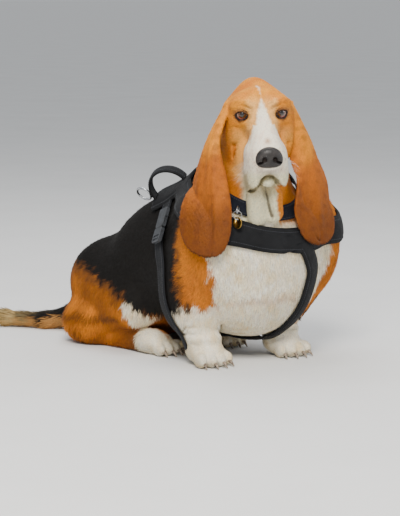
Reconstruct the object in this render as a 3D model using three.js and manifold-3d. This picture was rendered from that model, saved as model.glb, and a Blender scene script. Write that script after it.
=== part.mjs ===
// A basset hound sitting in a walking harness, life size, all lengths in millimetres.
// The hound faces -Y and its left side is at +X. Z is up and the floor is at zero.
// The body is one smooth field of rounded forms, cut into the parts of an animal.
import * as THREE from 'three';
import { mergeVertices } from 'three/addons/utils/BufferGeometryUtils.js';
import Module from 'manifold-3d';

const wasm = await Module();
wasm.setup();

// Driving sizes of the animal
const GAP = 0.3;
const ORIGIN = [-27.3, 239.7, 0];
const PAW_SPREAD = 90;
const PAW_BACK = -22;
const TOE_PITCH = 18;
const HIND_TOE_PITCH = 16;
const CHEST_HEIGHT = 195;
const ELBOW_HEIGHT = 126;
const EYE_AT = [34, -6, -5];
const EYE_RADIUS = 12.5;
const EAR_THICKNESS = 5;
const EAR_CLEAR = 16.5;
const HEAD_AT = [-24.5, -107.5, 484];
const HEAD_YAW = -29;
const HEAD_PITCH = 9;
const HEAD_ROLL = -2.5;

// Driving sizes of the harness and collar
const WEB_THICKNESS = 3;
const PAD_THICKNESS = 6.5;
const WEB_WIDTH = 26;
const PAD_WIDTH = 44;
const STERNUM_WIDTH = 32;
const COLLAR_WIDTH = 24;
const COLLAR_THICKNESS = 3.6;
const STRAP_LIFT = 3.2;
const TRIM = 1;

// Sides of the body
const RIGHT = -1;
const LEFT = 1;
const SIDES = [RIGHT, LEFT];

// Points and turns as plain arrays
const add = (a, b) => [a[0] + b[0], a[1] + b[1], a[2] + b[2]];
const sub = (a, b) => [a[0] - b[0], a[1] - b[1], a[2] - b[2]];
const scale = (a, s) => [a[0] * s, a[1] * s, a[2] * s];
const dot = (a, b) => a[0] * b[0] + a[1] * b[1] + a[2] * b[2];
const length = (a) => Math.sqrt(dot(a, a));
const unit = (a) => scale(a, 1 / Math.max(length(a), 1e-9));
const cross = (a, b) => [
  a[1] * b[2] - a[2] * b[1],
  a[2] * b[0] - a[0] * b[2],
  a[0] * b[1] - a[1] * b[0],
];
const radians = (degrees) => (degrees * Math.PI) / 180;
const clamp = (v, low, high) => Math.min(Math.max(v, low), high);

function ramp(from, to, v) {
  const t = clamp((v - from) / (to - from), 0, 1);
  return t * t * (3 - 2 * t);
}

// A turn about one axis, its rows listed
function turnAbout(axis, degrees) {
  const c = Math.cos(radians(degrees));
  const s = Math.sin(radians(degrees));
  if (axis === 'x') return [[1, 0, 0], [0, c, -s], [0, s, c]];
  if (axis === 'y') return [[c, 0, s], [0, 1, 0], [-s, 0, c]];
  return [[c, -s, 0], [s, c, 0], [0, 0, 1]];
}

function compose(a, b) {
  return a.map((row) => [0, 1, 2].map((j) => row[0] * b[0][j] + row[1] * b[1][j] + row[2] * b[2][j]));
}

const turned = (m, p) => m.map((row) => dot(row, p));
const unturned = (m, p) => [0, 1, 2].map((j) => m[0][j] * p[0] + m[1][j] * p[1] + m[2][j] * p[2]);

const HEAD_TURN = compose(
  compose(turnAbout('z', HEAD_YAW), turnAbout('x', HEAD_PITCH)),
  turnAbout('y', HEAD_ROLL),
);
const fromHead = (p) => add(HEAD_AT, turned(HEAD_TURN, p));

// The forms of the flesh: balls are ellipsoids, limbs are tapered rods with round ends
const BODY = [];
const FAR = 60;
const REACH_MARGIN = 12;

function ball(list, centre, radii, options = {}) {
  const { blend = 20, tilt = 0, turn = 0, roll = 0, head = false, cut = false, foot = false } = options;
  const own = compose(compose(turnAbout('z', turn), turnAbout('x', tilt)), turnAbout('y', roll));
  const m = head ? compose(HEAD_TURN, own) : own;
  const c = head ? fromHead(centre) : centre;
  const half = m.map((row) => Math.hypot(row[0] * radii[0], row[1] * radii[1], row[2] * radii[2]));
  const distance = (p) => {
    const q = unturned(m, sub(p, c));
    const near = Math.hypot(q[0] / radii[0], q[1] / radii[1], q[2] / radii[2]);
    const slope = Math.hypot(q[0] / radii[0] ** 2, q[1] / radii[1] ** 2, q[2] / radii[2] ** 2);
    return (near * (near - 1)) / Math.max(slope, 1e-9);
  };
  list.push({ distance, blend, cut, foot, low: sub(c, half), high: add(c, half) });
}

function limb(list, from, to, r0, r1, { blend = 20, head = false, foot = false } = {}) {
  const a = head ? fromHead(from) : from;
  const b = head ? fromHead(to) : to;
  const along = sub(b, a);
  const most = Math.max(r0, r1);
  const half = [most, most, most];
  const distance = (p) => {
    const t = clamp(dot(sub(p, a), along) / dot(along, along), 0, 1);
    return length(sub(p, add(a, scale(along, t)))) - (r0 + (r1 - r0) * t);
  };
  const low = a.map((v, i) => Math.min(v, b[i]));
  const high = a.map((v, i) => Math.max(v, b[i]));
  list.push({ distance, blend, cut: false, foot, low: sub(low, half), high: add(high, half) });
}

function smoothMin(a, b, k) {
  if (k <= 0) return Math.min(a, b);
  const h = clamp(0.5 + (0.5 * (b - a)) / k, 0, 1);
  return b + (a - b) * h - k * h * (1 - h);
}

function fieldOf(list) {
  return (p) => {
    let d = FAR;
    for (const form of list) {
      const m = form.blend + REACH_MARGIN;
      if (p.some((v, i) => v < form.low[i] - m || v > form.high[i] + m)) continue;
      const e = form.distance(p);
      d = form.cut ? -smoothMin(-d, e, form.blend) : smoothMin(d, e, form.blend);
    }
    return d;
  };
}

// Trunk
ball(BODY, [26, -14, CHEST_HEIGHT], [146, 112, 152], { blend: 0 });
ball(BODY, [22, -70, 240], [98, 58, 72], { blend: 40 });
ball(BODY, [2, 95, 180], [142, 140, 134], { blend: 60, tilt: -8 });
ball(BODY, [-26, 198, 158], [128, 110, 114], { blend: 60, tilt: -14 });
ball(BODY, [-40, 286, 92], [106, 102, 94], { blend: 60 });
ball(BODY, [6, 96, 284], [76, 86, 48], { blend: 50, tilt: -14 });
ball(BODY, [-18, 190, 232], [68, 95, 52], { blend: 50, tilt: -30 });

// Forelegs with their wrist folds and toes
for (const side of SIDES) {
  ball(BODY, [30 + side * 130, -16, 218], [42, 78, 104], { blend: 40, tilt: 8 });
  ball(BODY, [12 + side * 124, 10, ELBOW_HEIGHT], [40, 50, 60], { blend: 30 });
  const wrist = [side * (PAW_SPREAD + 1), -14, 42];
  limb(BODY, [6 + side * 110, 0, ELBOW_HEIGHT - 4], wrist, 40, 30, { blend: 22 });
  ball(BODY, [side * (PAW_SPREAD + 1), -18, 50], [34, 34, 17], { blend: 8, foot: true });
  ball(BODY, [side * PAW_SPREAD, PAW_BACK, 24], [36, 40, 25], { blend: 14, foot: true });
  for (const toe of [-1.5, -0.5, 0.5, 1.5]) {
    const x = side * (PAW_SPREAD + 3) + toe * TOE_PITCH;
    const y = PAW_BACK - 38 + Math.abs(toe) * 7;
    ball(BODY, [x, y, 15], [11, 21, 15], { blend: 7, turn: toe * 8, foot: true });
  }
}

// Hind legs lie folded, each from the hip over the knee and hock to the toes
const HIND = {
  [RIGHT]: { hip: [-104, 292, 122], knee: [-128, 172, 96], hock: [-146, 268, 36], heel: [-140, 270, 24],
    foot: [-110, 124, 22], toes: [-96, 88, 14] },
  [LEFT]: { hip: [22, 292, 122], knee: [62, 180, 98], hock: [74, 270, 36], heel: [72, 270, 24],
    foot: [52, 128, 22], toes: [48, 90, 14] },
};

// The heading of a hind foot on the floor, and the way across it
function footAxes(leg) {
  const ahead = unit([leg.foot[0] - leg.heel[0], leg.foot[1] - leg.heel[1], 0]);
  return { ahead, across: [-ahead[1], ahead[0], 0], turn: (Math.atan2(ahead[0], -ahead[1]) * 180) / Math.PI };
}

function hindToe(leg, toe) {
  const { ahead, across } = footAxes(leg);
  return add(leg.toes, add(scale(across, toe * HIND_TOE_PITCH), scale(ahead, -Math.abs(toe) * 6)));
}

for (const side of SIDES) {
  const leg = HIND[side];
  const { turn } = footAxes(leg);
  limb(BODY, leg.hip, leg.knee, 84, 50, { blend: 40 });
  limb(BODY, leg.knee, leg.hock, 42, 30, { blend: 16 });
  ball(BODY, [leg.hock[0] - 10, leg.hock[1] + 30, 46], [48, 62, 48], { blend: 24 });
  limb(BODY, leg.heel, leg.foot, 25, 22, { blend: 10, foot: true });
  ball(BODY, [leg.foot[0], leg.foot[1], 23], [32, 38, 23], { blend: 12, turn, foot: true });
  for (const toe of [-1.5, -0.5, 0.5, 1.5]) {
    ball(BODY, hindToe(leg, toe), [10, 19, 14], { blend: 7, turn: turn + toe * 7, foot: true });
  }
}

// The tail lies on the floor behind and lifts at its tip
const TAIL = [[-62, 380, 66], [-100, 430, 34], [-145, 480, 17], [-205, 550, 18], [-245, 630, 32],
  [-262, 695, 56]];
const TAIL_RADII = [34, 25, 17, 14, 10.5, 7];
for (let i = 0; i < TAIL.length - 1; i += 1) {
  limb(BODY, TAIL[i], TAIL[i + 1], TAIL_RADII[i], TAIL_RADII[i + 1], { blend: 14 });
}

// Neck and throat
limb(BODY, [14, 22, 284], [4, -46, 430], 98, 62, { blend: 45 });
limb(BODY, [2, -46, 275], [-12, -92, 375], 74, 46, { blend: 35 });
const BARE_NECK = [...BODY];

// Head, in its own frame with the point between the eyes at its origin
ball(BODY, [0, 58, -17], [63, 76, 50], { blend: 30, head: true });
ball(BODY, [0, 14, -3], [53, 38, 38], { blend: 25, head: true });
ball(BODY, [0, 112, 8], [22, 34, 26], { blend: 40, head: true });
for (const side of SIDES) {
  ball(BODY, [side * 44, 42, -28], [22, 46, 36], { blend: 16, head: true });
  ball(BODY, [side * 35, 0, 9], [20, 16, 12], { blend: 14, head: true });
  ball(BODY, [side * 44, 46, -63], [22, 50, 40], { blend: 18, head: true });
}
limb(BODY, [0, -6, -18], [0, -104, -62], 28, 22, { blend: 18, head: true });
ball(BODY, [0, -60, -68], [36, 64, 32], { blend: 18, head: true });
ball(BODY, [0, -98, -74], [31, 24, 30], { blend: 14, head: true });
for (const side of SIDES) {
  ball(BODY, [side * 24, -62, -94], [15, 48, 40], { blend: 12, head: true, roll: side * 6 });
  ball(BODY, [side * 25, -70, -106], [15, 34, 29], { blend: 8, head: true, roll: side * 4 });
}
limb(BODY, [0, -82, -108], [0, 20, -104], 16, 36, { blend: 6, head: true });
ball(BODY, [0, -88, -113], [12.5, 16, 10.5], { blend: 3, head: true });

// Two folds of dewlap hang under the throat
limb(BODY, [-60, -142, 358], [-38, -118, 292], 18, 21, { blend: 8 });
limb(BODY, [-30, -156, 356], [-14, -132, 296], 16, 20, { blend: 5 });

// Hollows that the eyes look out of
for (const side of SIDES) {
  ball(BODY, [side * 36, -24, -6], [13, 12, 11], { blend: 6, head: true, cut: true });
}

const flesh = fieldOf(BODY);
const fleshNoFeet = fieldOf(BODY.filter((form) => !form.foot));
const bareNeck = fieldOf(BARE_NECK);

// The nose leather with its two wings and nostrils
const NOSE = [];
ball(NOSE, [0, -119, -62], [24, 13, 20], { blend: 0, head: true });
for (const side of SIDES) {
  ball(NOSE, [side * 13, -121, -67], [11, 10, 11], { blend: 5, head: true });
}
for (const side of SIDES) {
  ball(NOSE, [side * 9, -133, -63], [4.2, 7, 4.6], { blend: 2, head: true, cut: true });
  ball(NOSE, [side * 17, -128, -69], [6, 6, 2.2], { blend: 2, head: true, cut: true, roll: side * 20 });
}
const noseField = fieldOf(NOSE);

// Direction of steepest rise of a field
function slopeOf(field, p) {
  const e = 0.5;
  return [0, 1, 2].map((i) => {
    const step = [0, 0, 0];
    step[i] = e;
    return (field(add(p, step)) - field(sub(p, step))) / (2 * e);
  });
}

// Moves a point along the field's slope until the field has the wanted value
function settle(field, p, level, rounds = 4) {
  let q = p;
  for (let i = 0; i < rounds; i += 1) {
    const miss = clamp(level - field(q), -30, 30);
    q = add(q, scale(unit(slopeOf(field, q)), miss));
  }
  return q;
}

// Solids from triangles: corners is a list of points, faces a list of index triples
function solidOf(corners, faces) {
  let volume = 0;
  for (const [a, b, c] of faces) volume += dot(corners[a], cross(corners[b], corners[c]));
  const outward = volume < 0 ? faces.map(([a, b, c]) => [a, c, b]) : faces;
  return new wasm.Manifold(new wasm.Mesh({
    numProp: 3,
    vertProperties: Float32Array.from(corners.flat()),
    triVerts: Uint32Array.from(outward.flat()),
  }));
}

function solidOfGeometry(geometry) {
  const bare = geometry.index ? geometry.toNonIndexed() : geometry.clone();
  for (const name of Object.keys(bare.attributes)) {
    if (name !== 'position') bare.deleteAttribute(name);
  }
  const merged = mergeVertices(bare, 1e-3);
  const place = merged.attributes.position;
  const corners = [];
  for (let i = 0; i < place.count; i += 1) corners.push([place.getX(i), place.getY(i), place.getZ(i)]);
  const index = Array.from(merged.index.array);
  const faces = [];
  for (let i = 0; i < index.length; i += 3) {
    const [a, b, c] = index.slice(i, i + 3);
    if (a !== b && b !== c && c !== a) faces.push([a, b, c]);
  }
  return solidOf(corners, faces);
}

function largestOf(solid) {
  return solid.decompose().reduce((best, piece) => (piece.volume() > best.volume() ? piece : best));
}

// Wraps the surface where a field has the given level, inside a box, in cells of one step
function wrapField(field, low, high, step, level = 0) {
  for (let nudge = 0; nudge < 12; nudge += 1) {
    const start = low.map((v, i) => v + nudge * step * [0.083, 0.137, 0.061][i]);
    const result = netOver(field, start, high, step, level);
    if (result.manifold) return solidOf(result.corners, result.faces);
  }
  throw new Error('no clean net over this field');
}

// The eight corners of a cell and its twelve edges, each an axis and the corner it starts from
const CORNERS = [0, 1, 2, 3, 4, 5, 6, 7].map((n) => [n & 1, (n >> 1) & 1, (n >> 2) & 1]);
const cornerNumber = (o) => o[0] + 2 * o[1] + 4 * o[2];
const EDGES = [0, 1, 2].flatMap((axis) => (
  CORNERS.filter((o) => o[axis] === 0).map((o) => {
    const end = o.slice();
    end[axis] = 1;
    return { axis, from: o, a: cornerNumber(o), b: cornerNumber(end) };
  })
));

// Numbers the inside corners of a cell by the group they are joined in
function groupsOf(inside) {
  const label = inside.map((v, n) => (v ? n : -1));
  for (let pass = 0; pass < 4; pass += 1) {
    for (const { a, b } of EDGES) {
      if (!inside[a] || !inside[b]) continue;
      label[a] = Math.min(label[a], label[b]);
      label[b] = label[a];
    }
  }
  return label;
}

// One vertex for each group of inside corners in each cell, and four-sided faces between them
function netOver(field, low, high, step, level) {
  const count = low.map((v, i) => Math.ceil((high[i] - v) / step) + 1);
  const at = (i, j, k) => (i * count[1] + j) * count[2] + k;
  const values = new Float64Array(count[0] * count[1] * count[2]);
  const onEdge = (i, a) => i === 0 || i === count[a] - 1;
  const onBorder = (i, j, k) => onEdge(i, 0) || onEdge(j, 1) || onEdge(k, 2);
  const grid = [];
  for (let i = 0; i < count[0]; i += 1) {
    for (let j = 0; j < count[1]; j += 1) {
      for (let k = 0; k < count[2]; k += 1) {
        const v = field([low[0] + i * step, low[1] + j * step, low[2] + k * step]) - level;
        values[at(i, j, k)] = onBorder(i, j, k) ? Math.max(v, 0.5 * step) : v;
        grid.push([i, j, k]);
      }
    }
  }
  const vertexOf = new Map();
  const corners = [];
  for (const [i, j, k] of grid) {
    if (i === count[0] - 1 || j === count[1] - 1 || k === count[2] - 1) continue;
    const here = CORNERS.map((o) => values[at(i + o[0], j + o[1], k + o[2])]);
    const inside = here.map((v) => v < 0);
    if (inside.every((v) => v === inside[0])) continue;
    const label = groupsOf(inside);
    const groups = new Map();
    for (const { axis, from, a, b } of EDGES) {
      if (inside[a] === inside[b]) continue;
      const name = inside[a] ? label[a] : label[b];
      const q = [i + from[0], j + from[1], k + from[2]];
      q[axis] += here[a] / (here[a] - here[b]);
      const group = groups.get(name) ?? { sum: [0, 0, 0], hits: 0 };
      groups.set(name, { sum: add(group.sum, q), hits: group.hits + 1 });
    }
    const closing = onBorder(i, j, k) || onBorder(i + 1, j + 1, k + 1);
    for (const [name, { sum, hits }] of groups) {
      const p = add(low, scale(sum, step / hits));
      const near = closing ? p : settle(field, p, level, 2);
      vertexOf.set(8 * at(i, j, k) + name, corners.length);
      corners.push(length(sub(near, p)) < 0.6 * step ? near : p);
    }
    for (let n = 0; n < 8; n += 1) {
      if (inside[n] && vertexOf.has(8 * at(i, j, k) + label[n])) {
        vertexOf.set(8 * at(i, j, k) + n, vertexOf.get(8 * at(i, j, k) + label[n]));
      }
    }
  }
  const faces = [];
  for (const cell of grid) {
    for (let axis = 0; axis < 3; axis += 1) {
      const [b, c] = [[1, 2], [2, 0], [0, 1]][axis];
      if (cell[axis] === count[axis] - 1 || cell[b] === 0 || cell[c] === 0) continue;
      const next = cell.slice();
      next[axis] += 1;
      const insideHere = values[at(...cell)] < 0;
      if (insideHere === values[at(...next)] < 0) continue;
      const within = insideHere ? cell : next;
      const corner = (db, dc) => {
        const q = cell.slice();
        q[b] -= db;
        q[c] -= dc;
        return vertexOf.get(8 * at(...q) + cornerNumber(sub(within, q)));
      };
      const quad = [corner(1, 1), corner(0, 1), corner(0, 0), corner(1, 0)];
      if (!insideHere) quad.reverse();
      const p = quad.map((n) => corners[n]);
      const first = length(sub(p[0], p[2])) <= length(sub(p[1], p[3]));
      if (first) faces.push([quad[0], quad[1], quad[2]], [quad[0], quad[2], quad[3]]);
      else faces.push([quad[0], quad[1], quad[3]], [quad[1], quad[2], quad[3]]);
    }
  }
  return { corners, faces, manifold: edgesPair(faces) };
}

// True where each edge is shared by exactly two faces
function edgesPair(faces) {
  const seen = new Map();
  for (const face of faces) {
    for (let e = 0; e < 3; e += 1) {
      const a = face[e];
      const b = face[(e + 1) % 3];
      const key = a < b ? `${a}_${b}` : `${b}_${a}`;
      seen.set(key, (seen.get(key) ?? 0) + 1);
    }
  }
  return [...seen.values()].every((n) => n === 2);
}

// A closed strip of cloth or leather: each section has a top row and an under row of points
function stripOf(sections, closed) {
  const n = sections[0].top.length;
  const ring = sections.map(({ top, under }) => [...top, ...under.slice().reverse()]);
  const corners = ring.flat();
  const m = 2 * n;
  const faces = [];
  const spans = closed ? ring.length : ring.length - 1;
  for (let s = 0; s < spans; s += 1) {
    const next = (s + 1) % ring.length;
    for (let i = 0; i < m; i += 1) {
      const j = (i + 1) % m;
      const [a, b, c, d] = [s * m + i, s * m + j, next * m + j, next * m + i];
      faces.push([a, b, c], [a, c, d]);
    }
  }
  if (!closed) {
    for (let i = 0; i < n - 1; i += 1) {
      const last = (ring.length - 1) * m;
      faces.push([i, m - 1 - i, i + 1], [i + 1, m - 1 - i, m - 2 - i]);
      faces.push([last + i, last + i + 1, last + m - 1 - i]);
      faces.push([last + i + 1, last + m - 2 - i, last + m - 1 - i]);
    }
  }
  return solidOf(corners, faces);
}

const grownSolids = new Map();

// A piece grown by the gap, made once, to cut its neighbours clear
function grown(name, make) {
  if (!grownSolids.has(name)) grownSolids.set(name, make());
  return grownSolids.get(name);
}

// Large blocks that the body is parted with
function blockBetween(low, high) {
  const size = sub(high, low);
  const box = new THREE.BoxGeometry(...size);
  box.translate(...scale(add(low, high), 0.5));
  return solidOfGeometry(box);
}

const HUGE = 1600;

// Half of space in front of a point, on the side that the normal points to
function halfSpace(point, normal) {
  const box = new THREE.BoxGeometry(HUGE, HUGE, HUGE);
  box.translate(0, 0, HUGE / 2);
  const spin = new THREE.Quaternion().setFromUnitVectors(
    new THREE.Vector3(0, 0, 1),
    new THREE.Vector3(...unit(normal)),
  );
  box.applyQuaternion(spin);
  box.translate(...point);
  return solidOfGeometry(box);
}

// The near side of a plane and the far side, with the gap left between them
function partingAt(point, normal) {
  const n = unit(normal);
  return {
    beyond: halfSpace(add(point, scale(n, GAP / 2)), n),
    before: halfSpace(sub(point, scale(n, GAP / 2)), scale(n, -1)),
  };
}

const FLOOR = halfSpace([0, 0, 0], [0, 0, 1]);

// Places where the body is parted into its lengths
const HEAD_PARTING = partingAt(fromHead([0, 10, -128]), turned(HEAD_TURN, [0, -0.55, 0.835]));
const NECK_PARTING = partingAt([0, 0, 292], [0, -0.3, 0.95]);
const TAIL_PARTING = partingAt([-80, 404, 50], [-0.4, 0.9, 0]);
const TIP_PARTING = partingAt([-190, 532, 21], [-0.65, 0.75, 0]);
const WRIST_HEIGHT = 52;
const HIND_FOOT_LINE = 132;
const LEG_BOXES = {
  fore: {
    [RIGHT]: [[-175, -110, WRIST_HEIGHT + GAP], [-50, 54, 150]],
    [LEFT]: [[50, -110, WRIST_HEIGHT + GAP], [225, 54, 150]],
  },
  forepaw: {
    [RIGHT]: [[-150, -110, 0], [-50, 30, WRIST_HEIGHT]],
    [LEFT]: [[50, -110, 0], [150, 30, WRIST_HEIGHT]],
  },
  hind: { [RIGHT]: [[-215, 58, 0], [-60, 330, 138]], [LEFT]: [[8, 58, 0], [165, 330, 138]] },
};

const grownBox = ([low, high], by) => blockBetween(low.map((v) => v - by), high.map((v) => v + by));

// The group that holds every part, and the way one is put into it
const hound = new THREE.Group();
hound.position.set(-ORIGIN[0], -ORIGIN[1], -ORIGIN[2]);

function material(color, roughness, metalness = 0) {
  return new THREE.MeshStandardMaterial({ color, roughness, metalness });
}

const COAT_TAN = material(0xb5743a, 0.9);
const COAT_WHITE = material(0xe9e0d2, 0.9);
const COAT_BLACK = material(0x231d1b, 0.85);
const NOSE_LEATHER = material(0x2a2425, 0.45);
const EYE_GLASS = material(0x4a2c16, 0.1);
const WEBBING = material(0x17181c, 0.85);
const BUCKLE_PLASTIC = material(0x3b3d42, 0.5);
const STEEL = material(0xb9bcc2, 0.3, 1);
const BRASS = material(0xc39a45, 0.35, 1);

function place(name, solid, look) {
  const net = solid.getMesh();
  const geometry = new THREE.BufferGeometry();
  geometry.setAttribute('position', new THREE.Float32BufferAttribute(net.vertProperties, 3));
  geometry.setIndex(Array.from(net.triVerts));
  geometry.computeBoundingBox();
  const centre = geometry.boundingBox.getCenter(new THREE.Vector3());
  geometry.translate(-centre.x, -centre.y, -centre.z);
  geometry.computeVertexNormals();
  const mesh = new THREE.Mesh(geometry, look);
  mesh.name = name;
  mesh.position.copy(centre);
  hound.add(mesh);
}

// Trunk and neck
const TRUNK_STEP = 27;
const NECK_STEP = 24;
const LEG_STEP = 22;
const PAW_STEP = 11;
const HIND_PAW_STEP = 14;
const HEAD_STEP = 14;
const TAIL_STEP = 14;

const TRUNK_BOX = [[-260, -200, -60], [270, 480, 400]];
const NECK_BOX = [[-200, -240, 190], [260, 250, 510]];

function torso() {
  let solid = wrapField(fleshNoFeet, ...TRUNK_BOX, TRUNK_STEP);
  solid = solid.intersect(NECK_PARTING.before).intersect(TAIL_PARTING.before).intersect(FLOOR);
  for (const side of SIDES) {
    solid = solid.subtract(grownBox(LEG_BOXES.fore[side], GAP));
    solid = solid.subtract(grownBox(LEG_BOXES.forepaw[side], GAP));
    solid = solid.subtract(grownBox(LEG_BOXES.hind[side], GAP));
  }
  return largestOf(solid);
}

function neck() {
  const solid = wrapField(flesh, ...NECK_BOX, NECK_STEP);
  return largestOf(solid.intersect(NECK_PARTING.beyond).intersect(HEAD_PARTING.before));
}

// A claw is a short curved cone at the end of a toe
function claw(tip, heading) {
  const cone = new THREE.ConeGeometry(4, 15, 6);
  cone.rotateX(Math.PI);
  cone.rotateX(radians(-62));
  cone.rotateZ(heading);
  cone.translate(tip[0], tip[1], tip[2]);
  return solidOfGeometry(cone);
}

const pawGrid = ([low, high]) => [low.map((v) => v - 24), high.map((v) => v + 24)];
const legGrid = ([low, high]) => [low.map((v) => v - 2 * LEG_STEP), high.map((v) => v + 2 * LEG_STEP)];

function foreleg(side) {
  const box = LEG_BOXES.fore[side];
  return largestOf(wrapField(flesh, ...legGrid(box), LEG_STEP).intersect(blockBetween(...box)));
}

function forepaw(side) {
  const box = LEG_BOXES.forepaw[side];
  let solid = wrapField(flesh, ...pawGrid(box), PAW_STEP).intersect(blockBetween(...box));
  for (const toe of [-1.5, -0.5, 0.5, 1.5]) {
    const x = side * (PAW_SPREAD + 3) + toe * (TOE_PITCH + 1.5);
    const y = PAW_BACK - 60 + Math.abs(toe) * 8;
    solid = solid.add(claw([x, y, 10], radians(toe * 8)).intersect(FLOOR));
  }
  return largestOf(solid);
}

function hindleg(side) {
  const [low, high] = LEG_BOXES.hind[side];
  const solid = wrapField(flesh, ...legGrid(LEG_BOXES.hind[side]), LEG_STEP);
  return largestOf(solid.intersect(blockBetween([low[0], HIND_FOOT_LINE + GAP, 0], high)));
}

function hindpaw(side) {
  const [low, high] = LEG_BOXES.hind[side];
  const leg = HIND[side];
  const grid = [[low[0] - 28, low[1] - 28, -28], [high[0] + 28, HIND_FOOT_LINE + 28, high[2] + 28]];
  let solid = wrapField(flesh, ...grid, HIND_PAW_STEP);
  solid = solid.intersect(blockBetween(low, [high[0], HIND_FOOT_LINE, high[2]]));
  const { ahead, turn } = footAxes(leg);
  for (const toe of [-1.5, -0.5, 0.5, 1.5]) {
    const tip = add(hindToe(leg, toe * 1.06), scale(ahead, 20));
    solid = solid.add(claw([tip[0], tip[1], 10], radians(turn + toe * 7)).intersect(FLOOR));
  }
  return largestOf(solid);
}

function tail(part) {
  const solid = wrapField(flesh, [-300, 360, -30], [10, 740, 140], TAIL_STEP).intersect(FLOOR);
  const behind = solid.intersect(TAIL_PARTING.beyond);
  return largestOf(behind.intersect(part === 'base' ? TIP_PARTING.before : TIP_PARTING.beyond));
}

// Eyes look forwards and outwards from under the brow
const EYE_LOOK = 24;

function eyeAt(side) {
  return fromHead([side * EYE_AT[0], EYE_AT[1], EYE_AT[2]]);
}

function eyeball(side, radius) {
  const globe = new THREE.SphereGeometry(radius, 14, 10);
  globe.translate(...eyeAt(side));
  return solidOfGeometry(globe);
}

// A round cord through hand-set points of the head frame
function cordThrough(points, radius, sidesAround, steps) {
  const curve = new THREE.CatmullRomCurve3(points.map((p) => new THREE.Vector3(...fromHead(p))));
  const outline = new THREE.Shape();
  for (let i = 0; i < sidesAround; i += 1) {
    const a = (2 * Math.PI * i) / sidesAround;
    if (i === 0) outline.moveTo(radius, 0);
    else outline.lineTo(radius * Math.cos(a), radius * Math.sin(a));
  }
  outline.closePath();
  const cord = new THREE.ExtrudeGeometry(outline, { steps, extrudePath: curve, bevelEnabled: false });
  return solidOfGeometry(cord);
}

// A lid runs over the globe from its inner to its outer corner, arched by the given angle
function lid(side, arch, radius) {
  const points = [];
  const reach = EYE_RADIUS + 0.6;
  for (let i = 0; i <= 6; i += 1) {
    const across = radians(-62 + (124 * i) / 6);
    const lift = radians(arch) * Math.cos((across * 90) / 62);
    const swing = radians(side * EYE_LOOK) + across;
    points.push([
      side * EYE_AT[0] + reach * Math.sin(swing) * Math.cos(lift),
      EYE_AT[1] - reach * Math.cos(swing) * Math.cos(lift),
      EYE_AT[2] + reach * Math.sin(lift),
    ]);
  }
  return cordThrough(points, radius, 6, 8);
}

// The line of the mouth, let into the lips from one side round the front to the other
const MOUTH = [[-30, -84, -140], [-24, -88, -129], [-12, -92, -114], [0, -109, -100], [12, -92, -114],
  [24, -88, -129], [30, -84, -140]];

const HEAD_BOX = [[-170, -260, 260], [130, 70, 580]];

function head() {
  let solid = wrapField(flesh, ...HEAD_BOX, HEAD_STEP);
  for (const side of SIDES) {
    solid = solid.add(lid(side, 34, 2.6)).add(lid(side, -36, 2.4));
    solid = solid.subtract(eyeball(side, EYE_RADIUS + GAP));
  }
  solid = solid.subtract(cordThrough(MOUTH, 2.2, 6, 12));
  solid = solid.subtract(wrapField(noseField, ...NOSE_BOX, NOSE_STEP, 3 * GAP));
  return largestOf(solid.intersect(HEAD_PARTING.beyond));
}

const NOSE_BOX = [[-130, -260, 370], [-40, -180, 450]];
const NOSE_STEP = 5.5;

function nose() {
  return largestOf(wrapField(noseField, ...NOSE_BOX, NOSE_STEP));
}

// The ear is a leaf hung from the side of the head, its front edge rolled in
const EAR_AXIS = {
  [RIGHT]: [[-60, -52, 494], [-110, -72, 428], [-125, -84, 358], [-127, -92, 290], [-133, -98, 220]],
  [LEFT]: [[47, -104, 496], [79, -117, 424], [82, -128, 360], [84, -134, 297], [90, -138, 232]],
};
const EAR_FRONT = { [RIGHT]: [0.36, 0.62], [LEFT]: [1, 1] };
const EAR_TURN = { [RIGHT]: 27, [LEFT]: 40 };

function alongAxis(points, v) {
  const last = points.length - 1;
  const t = clamp(v, 0, 1) * last;
  const i = Math.min(Math.floor(t), last - 1);
  const f = t - i;
  const pick = (j) => points[clamp(j, 0, last)];
  const [a, b, c, d] = [pick(i - 1), pick(i), pick(i + 1), pick(i + 2)];
  return b.map((_, k) => 0.5 * (2 * b[k] + (c[k] - a[k]) * f
    + (2 * a[k] - 5 * b[k] + 4 * c[k] - d[k]) * f * f + (3 * b[k] - 3 * c[k] + d[k] - a[k]) * f ** 3));
}

// A point of the ear's middle sheet: u runs from the front to the back edge, v from root to tip
function earPoint(side, u, v) {
  const taper = Math.sqrt(Math.max(1 - clamp((v - 0.74) / 0.26, 0, 1) ** 2.3, 0));
  const [narrow, full] = EAR_FRONT[side];
  const front = u < 0 ? narrow + (full - narrow) * ramp(0.12, 0.5, v) : 1;
  const half = (27 + 39 * ramp(0.02, 0.72, v)) * taper * front;
  const face = radians(10 + EAR_TURN[side] * ramp(0.05, 0.6, v));
  const roll = 62 + 40 * Math.exp(-(((v - 0.32) / 0.2) ** 2));
  const bend = radians(u < 0 ? roll : 34);
  const along = (half * Math.sin(bend * u)) / bend;
  const dip = (half * (1 - Math.cos(bend * u))) / bend;
  const x = side * (Math.sin(face) * along - Math.cos(face) * dip);
  const y = Math.cos(face) * along + Math.sin(face) * dip;
  const across = turned(turnAbout('z', HEAD_YAW + 2), [x, y, 0]);
  let p = add(alongAxis(EAR_AXIS[side], v), across);
  for (let i = 0; i < 6; i += 1) {
    const clear = 5 + (EAR_CLEAR - 5) * ramp(0.3, 0.55, v);
    const push = clamp(clear - bareNeck(p), 0, 40) * ramp(0.1, 0.3, v);
    if (push <= 0) break;
    const slope = slopeOf(bareNeck, p);
    p = add(p, scale(slope, (0.8 * push) / Math.max(dot(slope, slope), 0.25)));
  }
  return p;
}

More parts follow.
